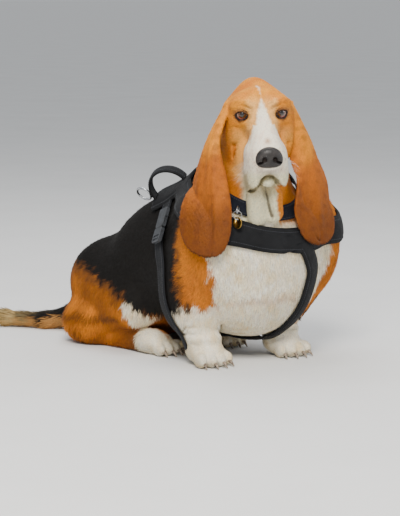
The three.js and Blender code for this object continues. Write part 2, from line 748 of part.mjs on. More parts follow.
function ear(side) {
  const [columns, rows] = [7, 15];
  const sections = [];
  for (let r = 0; r <= rows; r += 1) {
    const v = 0.999 * (1 - (1 - r / rows) ** 1.35);
    const section = { top: [], under: [] };
    for (let c = 0; c <= columns; c += 1) {
      const u = -1 + (2 * c) / columns;
      const e = 0.01;
      const du = sub(earPoint(side, Math.min(u + e, 1), v), earPoint(side, Math.max(u - e, -1), v));
      const dv = sub(earPoint(side, u, Math.min(v + e, 0.999)), earPoint(side, u, Math.max(v - e, 0)));
      const out = unit(cross(du, dv));
      const half = 0.5 * EAR_THICKNESS * (0.45 + 0.55 * Math.sqrt(Math.max(1 - u * u, 0)));
      const middle = earPoint(side, u, v);
      section.top.push(add(middle, scale(out, half)));
      section.under.push(sub(middle, scale(out, half)));
    }
    sections.push(section);
  }
  const grownHead = grown('head', () => wrapField(flesh, ...HEAD_BOX, HEAD_STEP, TRIM));
  return largestOf(stripOf(sections, false).subtract(grownHead).subtract(grownChest()));
}

// A band round the body where planes across it meet the field, seen from a point inside
function loopBand(band) {
  const { centre, normal, width, thickness, from, field, extra = 0, count = 32, rows = [-1, 0, 1] } = band;
  const n = unit(normal);
  const first = unit(cross(n, [0, 1, 0.3]));
  const second = cross(n, first);
  const sections = [];
  for (let i = 0; i < count; i += 1) {
    const a = (2 * Math.PI * i) / count;
    const way = add(scale(first, Math.cos(a)), scale(second, Math.sin(a)));
    const section = { top: [], under: [] };
    for (const row of rows) {
      const base = add(centre, scale(n, row * (0.5 * width + extra)));
      const inner = meetFrom(field, base, way, from, STRAP_LIFT - extra);
      section.under.push(inner);
      section.top.push(add(inner, scale(unit(slopeOf(field, inner)), thickness + 2 * extra)));
    }
    sections.push(section);
  }
  return stripOf(sections, true);
}

// Comes in along a ray from a distance out until the field has the wanted level
function meetFrom(field, base, way, from, level) {
  let t = from;
  for (let i = 0; i < 90; i += 1) {
    const d = field(add(base, scale(way, t))) - level;
    t -= 0.6 * d;
    if (Math.abs(d) < 0.01) break;
  }
  return add(base, scale(way, t));
}

// A band laid along hand-set points, settled on the field
function laidBand({ points, width, thickness, steps = 14, rows = 2, extra = 0 }) {
  const field = fleshNoFeet;
  const lift = STRAP_LIFT;
  const curve = new THREE.CatmullRomCurve3(points.map((p) => new THREE.Vector3(...settle(field, p, lift))));
  const at = (t) => curve.getPointAt(clamp(t, 0, 1)).toArray();
  const sections = [];
  for (let i = 0; i <= steps; i += 1) {
    const t = i / steps;
    const way = unit(sub(at(t + 0.01), at(t - 0.01)));
    const overrun = i === 0 ? -extra : i === steps ? extra : 0;
    const middle = add(at(t), scale(way, overrun));
    const out = unit(slopeOf(field, middle));
    const across = unit(cross(way, out));
    const section = { top: [], under: [] };
    for (let r = 0; r <= rows; r += 1) {
      const reach = (r / rows - 0.5) * (width + 2 * extra);
      const inner = settle(field, add(middle, scale(across, reach)), lift - extra);
      section.under.push(inner);
      section.top.push(add(inner, scale(unit(slopeOf(field, inner)), thickness + 2 * extra)));
    }
    sections.push(section);
  }
  return stripOf(sections, false);
}

// The harness has slipped round the body, so its back lies to the right and its front to the left
const CHEST_LOOP = {
  centre: [6, -8, 291],
  normal: [0.06, -0.36, 0.93],
  width: PAD_WIDTH,
  thickness: PAD_THICKNESS,
  from: 260,
  field: bareNeck,
  rows: [-1, -0.4, 0.4, 1],
};
const GIRTH_LOOP = {
  centre: [0, 90, 180],
  normal: [-0.3, 0.98, -0.34],
  width: WEB_WIDTH,
  thickness: WEB_THICKNESS,
  from: 190,
  field: fleshNoFeet,
};
const STERNUM = {
  points: [[52, -134, 236], [72, -128, 208], [88, -116, 176], [84, -106, 140], [77, -92, 104], [60, -62, 64],
    [38, -8, 40], [16, 48, 46]],
  width: STERNUM_WIDTH,
  thickness: PAD_THICKNESS,
};
const PLATE = {
  points: [[-44, 52, 335], [-58, 84, 330], [-70, 120, 315], [-80, 156, 295]],
  width: 74,
  thickness: PAD_THICKNESS,
  rows: 6,
  steps: 8,
};

const grownPlate = () => grown('plate', () => laidBand({ ...PLATE, extra: 3 * GAP }));
const grownChest = () => grown('chest', () => loopBand({ ...CHEST_LOOP, extra: GAP }));
const grownGirth = () => grown('girth', () => loopBand({ ...GIRTH_LOOP, extra: GAP }));

// Trims the inner face of a piece where the coarse flesh stands proud under it
function offFlesh(solid) {
  let trimmed = solid.subtract(grown('trunk', () => wrapField(fleshNoFeet, ...TRUNK_BOX, TRUNK_STEP, TRIM)));
  trimmed = trimmed.subtract(grown('neck', () => wrapField(flesh, ...NECK_BOX, NECK_STEP, TRIM)));
  for (const side of SIDES) {
    const box = legGrid(LEG_BOXES.fore[side]);
    trimmed = trimmed.subtract(grown(`foreleg_${side}`, () => wrapField(flesh, ...box, LEG_STEP, TRIM)));
    const paw = pawGrid(LEG_BOXES.forepaw[side]);
    trimmed = trimmed.subtract(grown(`forepaw_${side}`, () => wrapField(flesh, ...paw, PAW_STEP, TRIM)));
  }
  return largestOf(trimmed);
}

const backPlate = () => offFlesh(laidBand(PLATE));
const chestBand = () => offFlesh(loopBand(CHEST_LOOP).subtract(grownPlate()).subtract(grownGirth()));
const girthStrap = () => offFlesh(loopBand(GIRTH_LOOP).subtract(grownPlate()));

function sternumStrap() {
  return offFlesh(laidBand(STERNUM).subtract(grownChest()).subtract(grownGirth()));
}

// The carrying handle arches over the back plate
const HANDLE_FEET = [[-52, 84, 330], [-84, 142, 300]];
const HANDLE_RISE = 38;
const HANDLE_WIDTH = 24;
const HANDLE_THICKNESS = 7;

function handle() {
  const lift = STRAP_LIFT + PAD_THICKNESS + GAP;
  const [a, b] = HANDLE_FEET.map((p) => settle(flesh, p, lift));
  const out = unit(add(slopeOf(flesh, a), slopeOf(flesh, b)));
  const along = unit(sub(b, a));
  const across = unit(cross(out, along));
  const span = length(sub(b, a));
  const sections = [];
  const steps = 14;
  for (let i = 0; i <= steps; i += 1) {
    const a0 = Math.PI * (1 - i / steps);
    const middle = add(scale(add(a, b), 0.5), add(
      scale(along, 0.5 * span * Math.cos(a0)),
      scale(out, HANDLE_RISE * Math.sin(a0)),
    ));
    const up = unit(add(scale(along, Math.cos(a0) / span), scale(out, (0.5 * Math.sin(a0)) / HANDLE_RISE)));
    const row = (height, bow) => [-0.5, 0, 0.5].map((w) => {
      const rise = w === 0 ? height + bow : height;
      return add(middle, add(scale(across, w * HANDLE_WIDTH), scale(up, rise)));
    });
    sections.push({ top: row(HANDLE_THICKNESS - 1.2, 1.2), under: row(1.2, -1.2) });
  }
  const body = stripOf(sections, false);
  return largestOf(body.subtract(grownPlate()));
}

// Small hardware, set down with its back to the body: x along, y across and z away from it
function setDown(geometry, point, alongHint, lift) {
  const at = settle(flesh, point, lift);
  const out = unit(slopeOf(flesh, at));
  const across = unit(cross(out, alongHint));
  const along = cross(across, out);
  const frame = new THREE.Matrix4().makeBasis(
    new THREE.Vector3(...along),
    new THREE.Vector3(...across),
    new THREE.Vector3(...out),
  );
  frame.setPosition(...at);
  geometry.applyMatrix4(frame);
  return solidOfGeometry(geometry);
}

function roundedPlate(long, wide, thick, corner) {
  const [x, y] = [long / 2, wide / 2];
  const outline = new THREE.Shape();
  outline.moveTo(-x + corner, -y);
  outline.lineTo(x - corner, -y);
  outline.absarc(x - corner, -y + corner, corner, -Math.PI / 2, 0);
  outline.absarc(x - corner, y - corner, corner, 0, Math.PI / 2);
  outline.absarc(-x + corner, y - corner, corner, Math.PI / 2, Math.PI);
  outline.absarc(-x + corner, -y + corner, corner, Math.PI, 1.5 * Math.PI);
  return new THREE.ExtrudeGeometry(outline, {
    depth: thick - 2, bevelThickness: 1, bevelSize: 1, bevelOffset: -1, bevelSegments: 1, curveSegments: 3,
  }).translate(0, 0, 1);
}

// The side-release buckle of the girth strap, on the right flank
const BUCKLE_AT = [-122, 50, 248];
const BUCKLE_WAY = [-0.42, -0.2, -0.88];
const BUCKLE_WIDTH = 34;
const BUCKLE_THICKNESS = 8;

function buckleHalf(part) {
  const lift = STRAP_LIFT + WEB_THICKNESS + 2.4;
  const socketLong = 40;
  const plugLong = 30;
  const isSocket = part === 'socket';
  const long = isSocket ? socketLong : plugLong;
  const offset = isSocket ? -0.5 * (socketLong + GAP) : 0.5 * (plugLong + GAP);
  const body = roundedPlate(long, BUCKLE_WIDTH, BUCKLE_THICKNESS, 5);
  body.translate(offset, 0, 0);
  let solid = setDown(body, BUCKLE_AT, BUCKLE_WAY, lift);
  if (isSocket) {
    for (const side of SIDES) {
      const window = new THREE.BoxGeometry(16, 7, 4.4);
      window.translate(offset + 6, side * (BUCKLE_WIDTH / 2), BUCKLE_THICKNESS / 2);
      solid = solid.subtract(setDown(window, BUCKLE_AT, BUCKLE_WAY, lift));
    }
  } else {
    for (const bar of [4, 11]) {
      const slot = new THREE.BoxGeometry(4, 24, 3);
      slot.translate(offset + bar - 1, 0, BUCKLE_THICKNESS);
      solid = solid.subtract(setDown(slot, BUCKLE_AT, BUCKLE_WAY, lift));
    }
  }
  return largestOf(solid.subtract(grownGirth()));
}

// The steel ring behind the handle
const RING_AT = [-88, 160, 290];
const RING_RADIUS = 15;
const RING_WIRE = 2.4;

function harnessRing() {
  const ring = new THREE.TorusGeometry(RING_RADIUS, RING_WIRE, 6, 18);
  ring.rotateX(Math.PI / 2);
  ring.translate(0, 0, RING_RADIUS + RING_WIRE);
  const lift = STRAP_LIFT + PAD_THICKNESS + 2 * GAP;
  return largestOf(setDown(ring, RING_AT, [0, 1, -0.4], lift).subtract(grownPlate()));
}

// The collar goes round the neck behind the dewlap
const COLLAR_LOOP = {
  centre: [-6, -52, 330],
  normal: [-0.02, -0.42, 0.9],
  width: COLLAR_WIDTH,
  thickness: COLLAR_THICKNESS,
  from: 200,
  field: bareNeck,
};

function collar() {
  const band = loopBand(COLLAR_LOOP);
  return offFlesh(band.subtract(grownChest()).subtract(grownPlate()));
}

// The loop on the collar, the split ring through it and the name tag below
const TAG_AT = [-67, -100, 300];
const LOOP_RADIUS = 7.5;
const LOOP_STRETCH = 1.6;
const TAG_AWAY = 19;
const TAG_SWING = 55;
const TAG_HOLE = 3.6;
const HOLE_DROP = 5;
const SPLIT_RADIUS = 8;
const TAG_RADIUS = 11;

function tagFrame() {
  const at = settle(bareNeck, TAG_AT, STRAP_LIFT + COLLAR_THICKNESS + GAP);
  const out = unit([slopeOf(bareNeck, at)[0], slopeOf(bareNeck, at)[1], 0]);
  return { at, out, across: cross([0, 0, 1], out) };
}

// Puts a flat piece up at a height below the collar, facing across or away from the neck
function hung(geometry, drop, away, faceOut) {
  const { at, out, across } = tagFrame();
  const side = faceOut ? across : scale(out, -1);
  const frame = new THREE.Matrix4().makeBasis(
    new THREE.Vector3(...side),
    new THREE.Vector3(0, 0, 1),
    new THREE.Vector3(...cross(side, [0, 0, 1])),
  );
  frame.setPosition(...add(add(at, scale(out, away)), [0, 0, -drop]));
  geometry.applyMatrix4(frame);
  return solidOfGeometry(geometry);
}

function collarLoop() {
  const ring = new THREE.TorusGeometry(LOOP_RADIUS, 1.3, 6, 12).scale(LOOP_STRETCH, 1, 1);
  const grownCollar = loopBand({ ...COLLAR_LOOP, extra: GAP });
  return largestOf(hung(ring, 0, LOOP_RADIUS * LOOP_STRETCH, false).subtract(grownCollar));
}

function splitRing() {
  return hung(new THREE.TorusGeometry(SPLIT_RADIUS, 1.1, 6, 16), SPLIT_RADIUS, TAG_AWAY, true);
}

function nameTag() {
  const outline = new THREE.Shape();
  outline.absarc(0, 0, TAG_RADIUS, 0, 2 * Math.PI);
  const hole = new THREE.Path();
  hole.absarc(0, TAG_RADIUS - HOLE_DROP, TAG_HOLE, 0, 2 * Math.PI, true);
  outline.holes.push(hole);
  const disc = new THREE.ExtrudeGeometry(outline, { depth: 1.6, bevelEnabled: false, curveSegments: 14 });
  disc.translate(0, 0, -0.8);
  disc.rotateY(radians(TAG_SWING));
  return hung(disc, 2 * SPLIT_RADIUS + TAG_RADIUS - HOLE_DROP, TAG_AWAY, false);
}

// All parts, from the body to the smallest piece of metal
place('torso', torso(), COAT_BLACK);
place('neck', neck(), COAT_TAN);
place('head', head(), COAT_WHITE);
place('nose', nose(), NOSE_LEATHER);
const sideName = { [RIGHT]: 'right', [LEFT]: 'left' };
for (const side of SIDES) {
  place(`eye_${sideName[side]}`, eyeball(side, EYE_RADIUS), EYE_GLASS);
  place(`ear_${sideName[side]}`, ear(side), COAT_TAN);
  place(`foreleg_${sideName[side]}`, foreleg(side), COAT_TAN);
  place(`forepaw_${sideName[side]}`, forepaw(side), COAT_WHITE);
  place(`hindleg_${sideName[side]}`, hindleg(side), COAT_TAN);
  place(`hindpaw_${sideName[side]}`, hindpaw(side), COAT_WHITE);
}
place('tail_base', tail('base'), COAT_BLACK);
place('tail_tip', tail('tip'), COAT_WHITE);
place('chest_band', chestBand(), WEBBING);
place('girth_strap', girthStrap(), WEBBING);
place('sternum_strap', sternumStrap(), WEBBING);
place('back_plate', backPlate(), WEBBING);
place('handle', handle(), WEBBING);
place('buckle_socket', buckleHalf('socket'), BUCKLE_PLASTIC);
place('buckle_plug', buckleHalf('plug'), BUCKLE_PLASTIC);
place('harness_ring', harnessRing(), STEEL);
place('collar', collar(), WEBBING);
place('collar_loop', collarLoop(), STEEL);
place('split_ring', splitRing(), STEEL);
place('name_tag', nameTag(), BRASS);

export default hound;
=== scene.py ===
# %% [markdown]
# # A basset hound sitting in a walking harness
# The hound is a life-size model that sits on a museum's floor. Its flesh is one smooth distance
# field, the same rounded forms that the solid model is parted from, so the skin made here has no
# seam. Over it lie short tufts of coat, and the harness, collar and metal are made one by one.

import math
import time

import bmesh
import bpy
import numpy as np
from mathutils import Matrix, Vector
from mathutils.bvhtree import BVHTree


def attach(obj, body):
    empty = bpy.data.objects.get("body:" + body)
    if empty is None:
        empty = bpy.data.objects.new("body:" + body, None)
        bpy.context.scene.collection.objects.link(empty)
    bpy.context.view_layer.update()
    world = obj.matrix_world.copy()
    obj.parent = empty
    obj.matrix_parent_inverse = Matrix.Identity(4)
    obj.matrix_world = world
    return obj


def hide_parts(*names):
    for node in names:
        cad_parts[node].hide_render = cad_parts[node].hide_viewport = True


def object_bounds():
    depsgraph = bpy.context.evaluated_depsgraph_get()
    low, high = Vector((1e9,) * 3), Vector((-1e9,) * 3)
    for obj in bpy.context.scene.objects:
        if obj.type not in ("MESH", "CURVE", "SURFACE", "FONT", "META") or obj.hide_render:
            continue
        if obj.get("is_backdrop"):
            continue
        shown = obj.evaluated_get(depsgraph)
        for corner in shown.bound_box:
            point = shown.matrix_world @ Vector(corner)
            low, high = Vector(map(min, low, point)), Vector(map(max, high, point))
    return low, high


began = time.time()


def clock():
    return "after " + str(round(time.time() - began, 1)) + " s"


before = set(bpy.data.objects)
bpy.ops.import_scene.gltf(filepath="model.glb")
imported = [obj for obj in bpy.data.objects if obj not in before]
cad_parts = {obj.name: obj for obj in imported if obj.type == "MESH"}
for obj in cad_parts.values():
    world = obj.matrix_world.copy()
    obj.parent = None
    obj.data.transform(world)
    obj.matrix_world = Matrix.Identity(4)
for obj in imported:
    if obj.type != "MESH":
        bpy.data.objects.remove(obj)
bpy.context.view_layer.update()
draw = np.random.default_rng(7)

# %% [markdown]
# The forms are written in millimetres with the hound facing -Y and its left side at +X.
# A point is shifted by one fixed offset and divided by a thousand to reach the shared frame.
# Another way is to sculpt by hand, but named forms keep the skin and the solids in step.

# %% Frame and small helpers
ORIGIN = np.array([-27.3, 239.7, 0.0])
RIGHT, LEFT = -1, 1
SIDE_NAME = {RIGHT: "right", LEFT: "left"}


def to_row(points):
    return (np.asarray(points, float) - ORIGIN) / 1000.0


def unit(v):
    v = np.asarray(v, float)
    return v / np.maximum(np.linalg.norm(v, axis=-1, keepdims=True), 1e-9)


def ramp(start, end, v):
    t = np.clip((v - start) / (end - start), 0, 1)
    return t * t * (3 - 2 * t)


def turn_about(axis, degrees):
    c, s = math.cos(math.radians(degrees)), math.sin(math.radians(degrees))
    rows = {
        "x": [[1, 0, 0], [0, c, -s], [0, s, c]],
        "y": [[c, 0, s], [0, 1, 0], [-s, 0, c]],
        "z": [[c, -s, 0], [s, c, 0], [0, 0, 1]],
    }
    return np.array(rows[axis], float)


HEAD_AT = np.array([-24.5, -107.5, 484.0])
HEAD_YAW = -29
HEAD_TURN = turn_about("z", HEAD_YAW) @ turn_about("x", 9) @ turn_about("y", -2.5)


def from_head(points):
    return HEAD_AT + np.asarray(points, float) @ HEAD_TURN.T


def to_head(points):
    return (np.asarray(points, float) - HEAD_AT) @ HEAD_TURN


# %% [markdown]
# A ball is an ellipsoid and a limb is a tapered rod. Each knows its distance from a point, and a
# smooth minimum melts one into the next over a chosen width, as muscle and skin do.

# %% Forms of the flesh
class Form:
    def __init__(self, distance, low, high, blend, cut, foot):
        self.distance, self.low, self.high = distance, low, high
        self.blend, self.cut, self.foot = blend, cut, foot


def ball(forms, centre, radii, blend=20, tilt=0, turn=0, roll=0, head=False, cut=False, foot=False):
    spin = turn_about("z", turn) @ turn_about("x", tilt) @ turn_about("y", roll)
    centre, radii = np.array(centre, float), np.array(radii, float)
    if head:
        centre, spin = from_head(centre), HEAD_TURN @ spin
    half = np.sqrt(((spin * radii) ** 2).sum(1))

    def distance(points):
        q = (points - centre) @ spin
        near = np.sqrt(((q / radii) ** 2).sum(-1))
        slope = np.sqrt(((q / radii**2) ** 2).sum(-1))
        return near * (near - 1) / np.maximum(slope, 1e-9)

    forms.append(Form(distance, centre - half, centre + half, blend, cut, foot))


def limb(forms, start, end, r0, r1, blend=20, head=False, cut=False, foot=False):
    a, b = np.array(start, float), np.array(end, float)
    if head:
        a, b = from_head(a), from_head(b)
    along, most = b - a, max(r0, r1)

    def distance(points):
        t = np.clip(((points - a) @ along) / (along @ along), 0, 1)
        return np.sqrt(((points - a - t[..., None] * along) ** 2).sum(-1)) - (r0 + (r1 - r0) * t)

    forms.append(Form(distance, np.minimum(a, b) - most, np.maximum(a, b) + most, blend, cut, foot))


def smooth_min(a, b, k):
    if k <= 0:
        return np.minimum(a, b)
    h = np.clip(0.5 + 0.5 * (b - a) / k, 0, 1)
    return b + (a - b) * h - k * h * (1 - h)


def joined(d, e, form):
    return -smooth_min(-d, e, form.blend) if form.cut else smooth_min(d, e, form.blend)


FAR = 60.0
REACH_MARGIN = 12


def field_at(points, forms):
    d = np.full(len(points), FAR)
    for form in forms:
        m = form.blend + REACH_MARGIN
        near = np.all((points > form.low - m) & (points < form.high + m), axis=1)
        if near.any():
            d[near] = joined(d[near], form.distance(points[near]), form)
    return d


def slope_at(points, forms, e=0.5):
    steps = np.eye(3) * e
    sides = [field_at(points + s, forms) - field_at(points - s, forms) for s in steps]
    return np.stack(sides, -1) / (2 * e)


# %% [markdown]
# The trunk hangs low and wide between short forelegs, and the hind legs are folded under the rump.

# %% Trunk, legs and tail
body = []
ball(body, (26, -14, 195), (146, 112, 152), blend=0)
ball(body, (22, -70, 240), (98, 58, 72), blend=40)
ball(body, (2, 95, 180), (142, 140, 134), blend=60, tilt=-8)
ball(body, (-26, 198, 158), (128, 110, 114), blend=60, tilt=-14)
ball(body, (-40, 286, 92), (106, 102, 94), blend=60)
ball(body, (6, 96, 284), (76, 86, 48), blend=50, tilt=-14)
ball(body, (-18, 190, 232), (68, 95, 52), blend=50, tilt=-30)

SIDES = (RIGHT, LEFT)
TOES = (-1.5, -0.5, 0.5, 1.5)
PAW_X, PAW_Y, TOE_PITCH, HIND_TOE_PITCH = 90, -22, 18, 16
for s in SIDES:
    ball(body, (30 + s * 130, -16, 218), (42, 78, 104), blend=40, tilt=8)
    ball(body, (12 + s * 124, 10, 126), (40, 50, 60), blend=30)
    limb(body, (6 + s * 110, 0, 122), (s * (PAW_X + 1), -14, 42), 40, 30, blend=22)
    ball(body, (s * (PAW_X + 1), -18, 50), (34, 34, 17), blend=8, foot=True)
    ball(body, (s * PAW_X, PAW_Y, 24), (36, 40, 25), blend=14, foot=True)
    for toe in TOES:
        place = (s * (PAW_X + 3) + toe * TOE_PITCH, PAW_Y - 38 + abs(toe) * 7, 15)
        ball(body, place, (11, 21, 15), blend=7, turn=toe * 8, foot=True)

HIND = {
    RIGHT: dict(hip=(-104, 292, 122), knee=(-128, 172, 96), hock=(-146, 268, 36),
                heel=(-140, 270, 24), foot=(-110, 124, 22), toes=(-96, 88, 14)),
    LEFT: dict(hip=(22, 292, 122), knee=(62, 180, 98), hock=(74, 270, 36),
               heel=(72, 270, 24), foot=(52, 128, 22), toes=(48, 90, 14)),
}


def foot_axes(leg):
    ahead = unit([leg["foot"][0] - leg["heel"][0], leg["foot"][1] - leg["heel"][1], 0.0])
    across = np.array([-ahead[1], ahead[0], 0.0])
    return ahead, across, math.degrees(math.atan2(ahead[0], -ahead[1]))


def hind_toe(leg, toe):
    ahead, across, _ = foot_axes(leg)
    return np.array(leg["toes"], float) + across * toe * HIND_TOE_PITCH - ahead * abs(toe) * 6


for s in SIDES:
    leg = HIND[s]
    turn = foot_axes(leg)[2]
    limb(body, leg["hip"], leg["knee"], 84, 50, blend=40)
    limb(body, leg["knee"], leg["hock"], 42, 30, blend=16)
    ball(body, (leg["hock"][0] - 10, leg["hock"][1] + 30, 46), (48, 62, 48), blend=24)
    limb(body, leg["heel"], leg["foot"], 25, 22, blend=10, foot=True)
    ball(body, (*leg["foot"][:2], 23), (32, 38, 23), blend=12, turn=turn, foot=True)
    for toe in TOES:
        ball(body, hind_toe(leg, toe), (10, 19, 14), blend=7, turn=turn + toe * 7, foot=True)

TAIL = [(-62, 380, 66), (-100, 430, 34), (-145, 480, 17), (-205, 550, 18), (-245, 630, 32),
        (-262, 695, 56)]
TAIL_RADII = [34, 25, 17, 14, 10.5, 7]
for i in range(len(TAIL) - 1):
    limb(body, TAIL[i], TAIL[i + 1], TAIL_RADII[i], TAIL_RADII[i + 1], blend=14)
limb(body, (14, 22, 284), (4, -46, 430), 98, 62, blend=45)
limb(body, (2, -46, 275), (-12, -92, 375), 74, 46, blend=35)
bare_neck = list(body)
print("forms of trunk, legs, tail and neck:", len(body))

# %% [markdown]
# The head is written in its own frame, with the point between the eyes at its origin: a long domed
# skull, a deep muzzle, hanging lips on both sides and two folds of dewlap under the throat.

# %% Head and dewlap
ball(body, (0, 58, -17), (63, 76, 50), blend=30, head=True)
ball(body, (0, 14, -3), (53, 38, 38), blend=25, head=True)
ball(body, (0, 112, 8), (22, 34, 26), blend=40, head=True)
for s in SIDES:
    ball(body, (s * 44, 42, -28), (22, 46, 36), blend=16, head=True)
    ball(body, (s * 35, 0, 9), (20, 16, 12), blend=14, head=True)
    ball(body, (s * 44, 46, -63), (22, 50, 40), blend=18, head=True)
limb(body, (0, -6, -18), (0, -104, -62), 28, 22, blend=18, head=True)
ball(body, (0, -60, -68), (36, 64, 32), blend=18, head=True)
ball(body, (0, -98, -74), (31, 24, 30), blend=14, head=True)
for s in SIDES:
    ball(body, (s * 24, -62, -94), (15, 48, 40), blend=12, head=True, roll=s * 6)
    ball(body, (s * 25, -70, -106), (15, 34, 29), blend=8, head=True, roll=s * 4)
limb(body, (0, -82, -108), (0, 20, -104), 16, 36, blend=6, head=True)
ball(body, (0, -88, -113), (12.5, 16, 10.5), blend=3, head=True)
limb(body, (-60, -142, 358), (-38, -118, 292), 18, 21, blend=8)
limb(body, (-30, -156, 356), (-14, -132, 296), 16, 20, blend=5)
EYE_AT = np.array([34.0, -6.0, -5.0])
EYE_RADIUS = 12.5
EYE_LOOK = 24
LID_SPAN = 66
for s in SIDES:
    ball(body, (s * 36, -24, -6), (13, 12, 11), blend=6, head=True, cut=True)
no_feet = [form for form in body if not form.foot]
print("forms with the head:", len(body))

# %% [markdown]
# Loose skin gives the breed its look. Rolls over the brow, the folds of the cheek, the rim of each
# lid and the line of the mouth are small forms that only the skin needs, added after the large ones.

# %% Folds of the face and wrists
skin = list(body)


def eye_point(s, across, lift, reach):
    swing = math.radians(s * EYE_LOOK + across)
    up = math.radians(lift)
    return (
        s * EYE_AT[0] + reach * math.sin(swing) * math.cos(up),
        EYE_AT[1] - reach * math.cos(swing) * math.cos(up),
        EYE_AT[2] + reach * math.sin(up),
    )


def lid_line(s, arch, reach):
    """A lid from corner to corner of the eye, arched up or down by so many degrees."""
    return [eye_point(s, a, arch * math.cos(math.radians(a * 90 / LID_SPAN)), reach)
            for a in np.linspace(-LID_SPAN, LID_SPAN, 9)]


def rope(forms, points, r0, r1, **options):
    for i in range(len(points) - 1):
        a = r0 + (r1 - r0) * i / (len(points) - 1)
        b = r0 + (r1 - r0) * (i + 1) / (len(points) - 1)
        limb(forms, points[i], points[i + 1], a, b, **options)


for s in SIDES:
    for arch, clear, thick in ((36, 1.0, 2.7), (-52, 0.8, 2.4)):
        rope(skin, lid_line(s, arch, EYE_RADIUS + clear), thick, thick, blend=3, head=True)
    brow = [(s * 14, -22, 12), (s * 26, -21, 19), (s * 40, -12, 19), (s * 52, 4, 12)]
    rope(skin, brow, 5.0, 4.2, blend=5, head=True)
    fold = [(s * 16, -34, -6), (s * 22, -36, -20), (s * 34, -26, -30), (s * 48, -8, -30)]
    rope(skin, fold, 2.2, 1.6, blend=5, head=True, cut=True)
    cheek = [(s * 44, -16, -44), (s * 50, 0, -66), (s * 48, 6, -92)]
    rope(skin, cheek, 2.6, 2.0, blend=6, head=True, cut=True)
    for height, size in ((62, 2.4), (76, 2.0)):
        turns = np.linspace(0, 2 * math.pi, 13)
        ring = [(s * (PAW_X + 1) + 38 * math.cos(t), -16 + 36 * math.sin(t), height) for t in turns]
        rope(skin, ring, size, size, blend=5, cut=True)
MOUTH = [(-37, -66, -134), (-30, -80, -132), (-23, -94, -125), (-15, -99, -112), (-7, -107, -102),
         (0, -114, -95), (7, -110, -99), (15, -104, -108), (23, -97, -121), (30, -80, -132),
         (38, -62, -138)]
for drop, back in ((0, 0), (3, 8), (5, 17)):
    inner_line = [(x, y + back, z - drop) for x, y, z in MOUTH[1:-1]]
    rope(skin, inner_line, 3.6, 3.6, blend=1.5, head=True, cut=True)
ball(skin, (1, -88, -112), (12, 15, 8.5), blend=1.5, head=True)
CREASE = [(-4, -84, -124), (-1, -72, -140), (3, -70, -156), (6, -67, -172), (11, -64, -188)]
rope(skin, CREASE, 5.0, 3.6, blend=4, head=True, cut=True)
rope(skin, [(0, -134, -80), (0, -124, -90), (0, -113, -98)], 1.6, 1.2, blend=2, head=True, cut=True)
rope(skin, [(0, 4, 34), (1, -16, 26), (0, -32, 8)], 2.4, 1.6, blend=9, head=True, cut=True)
print("forms of the skin:", len(skin))

# %% [markdown]
# The ears are long leaves that hang from low on the skull, their front edges rolled in. Each is a
# sheet written by two numbers, u across and v down, so that its folds and its edge are true shapes.

# %% Ear leaves
EAR_AXIS = {
    RIGHT: [(-60, -52, 494), (-110, -72, 428), (-125, -84, 358), (-127, -92, 290), (-133, -98, 220)],
    LEFT: [(47, -104, 496), (79, -117, 424), (82, -128, 360), (84, -134, 297), (90, -138, 232)],
}
EAR_FRONT = {RIGHT: (0.36, 0.62), LEFT: (1.0, 1.0)}
EAR_TURN = {RIGHT: 27, LEFT: 40}
EAR_CLEAR = 19


def along_axis(points, v):
    points = np.asarray(points, float)
    last = len(points) - 1
    t = np.clip(v, 0, 1) * last
    i = np.minimum(t.astype(int), last - 1)
    f = (t - i)[..., None]
    a, b, c, d = [points[np.clip(i + k, 0, last)] for k in (-1, 0, 1, 2)]
    bend, twist = 2 * a - 5 * b + 4 * c - d, 3 * b - 3 * c + d - a
    return 0.5 * (2 * b + (c - a) * f + bend * f**2 + twist * f**3)


def ear_sheet(s, u, v):
    taper = np.sqrt(np.clip(1 - np.clip((v - 0.74) / 0.26, 0, 1) ** 2.3, 0, 1))
    half = (27 + 39 * ramp(0.02, 0.72, v)) * taper
    narrow, full = EAR_FRONT[s]
    half = half * np.where(u < 0, narrow + (full - narrow) * ramp(0.12, 0.5, v), 1.0)
    face = np.radians(10 + EAR_TURN[s] * ramp(0.05, 0.6, v))
    bend = np.radians(np.where(u < 0, 62 + 40 * np.exp(-(((v - 0.32) / 0.2) ** 2)), 34 + 0 * v))
    run, dip = half * np.sin(bend * u) / bend, half * (1 - np.cos(bend * u)) / bend
    ripple = 1.7 * np.sin(7.5 * u + 3.2 * v + s) + 1.1 * np.sin(13 * u - 4 * v)
    dip = dip + ripple * ramp(0.12, 0.5, v) * (1 - u * u)
    x = s * (np.sin(face) * run - np.cos(face) * dip)
    y = np.cos(face) * run + np.sin(face) * dip
    across = np.stack([x, y, 0 * x], -1) @ turn_about("z", HEAD_YAW + 2).T
    points = (along_axis(EAR_AXIS[s], v) + across).reshape(-1, 3)
    flat_v = v.reshape(-1)
    clear = 5 + (EAR_CLEAR - 5) * ramp(0.3, 0.55, flat_v)
    for _ in range(6):
        push = np.clip(clear - field_at(points, bare_neck), 0, 40) * ramp(0.1, 0.3, flat_v)
        slope = slope_at(points, bare_neck)
        steep = np.maximum((slope**2).sum(-1), 0.25)
        points = points + slope * (0.8 * push / steep)[:, None]
    return points.reshape(*u.shape, 3)


def grid_faces(rows, columns):
    n = np.arange(rows * columns).reshape(rows, columns)
    return np.stack([n[:-1, :-1], n[:-1, 1:], n[1:, 1:], n[1:, :-1]], -1).reshape(-1, 4)


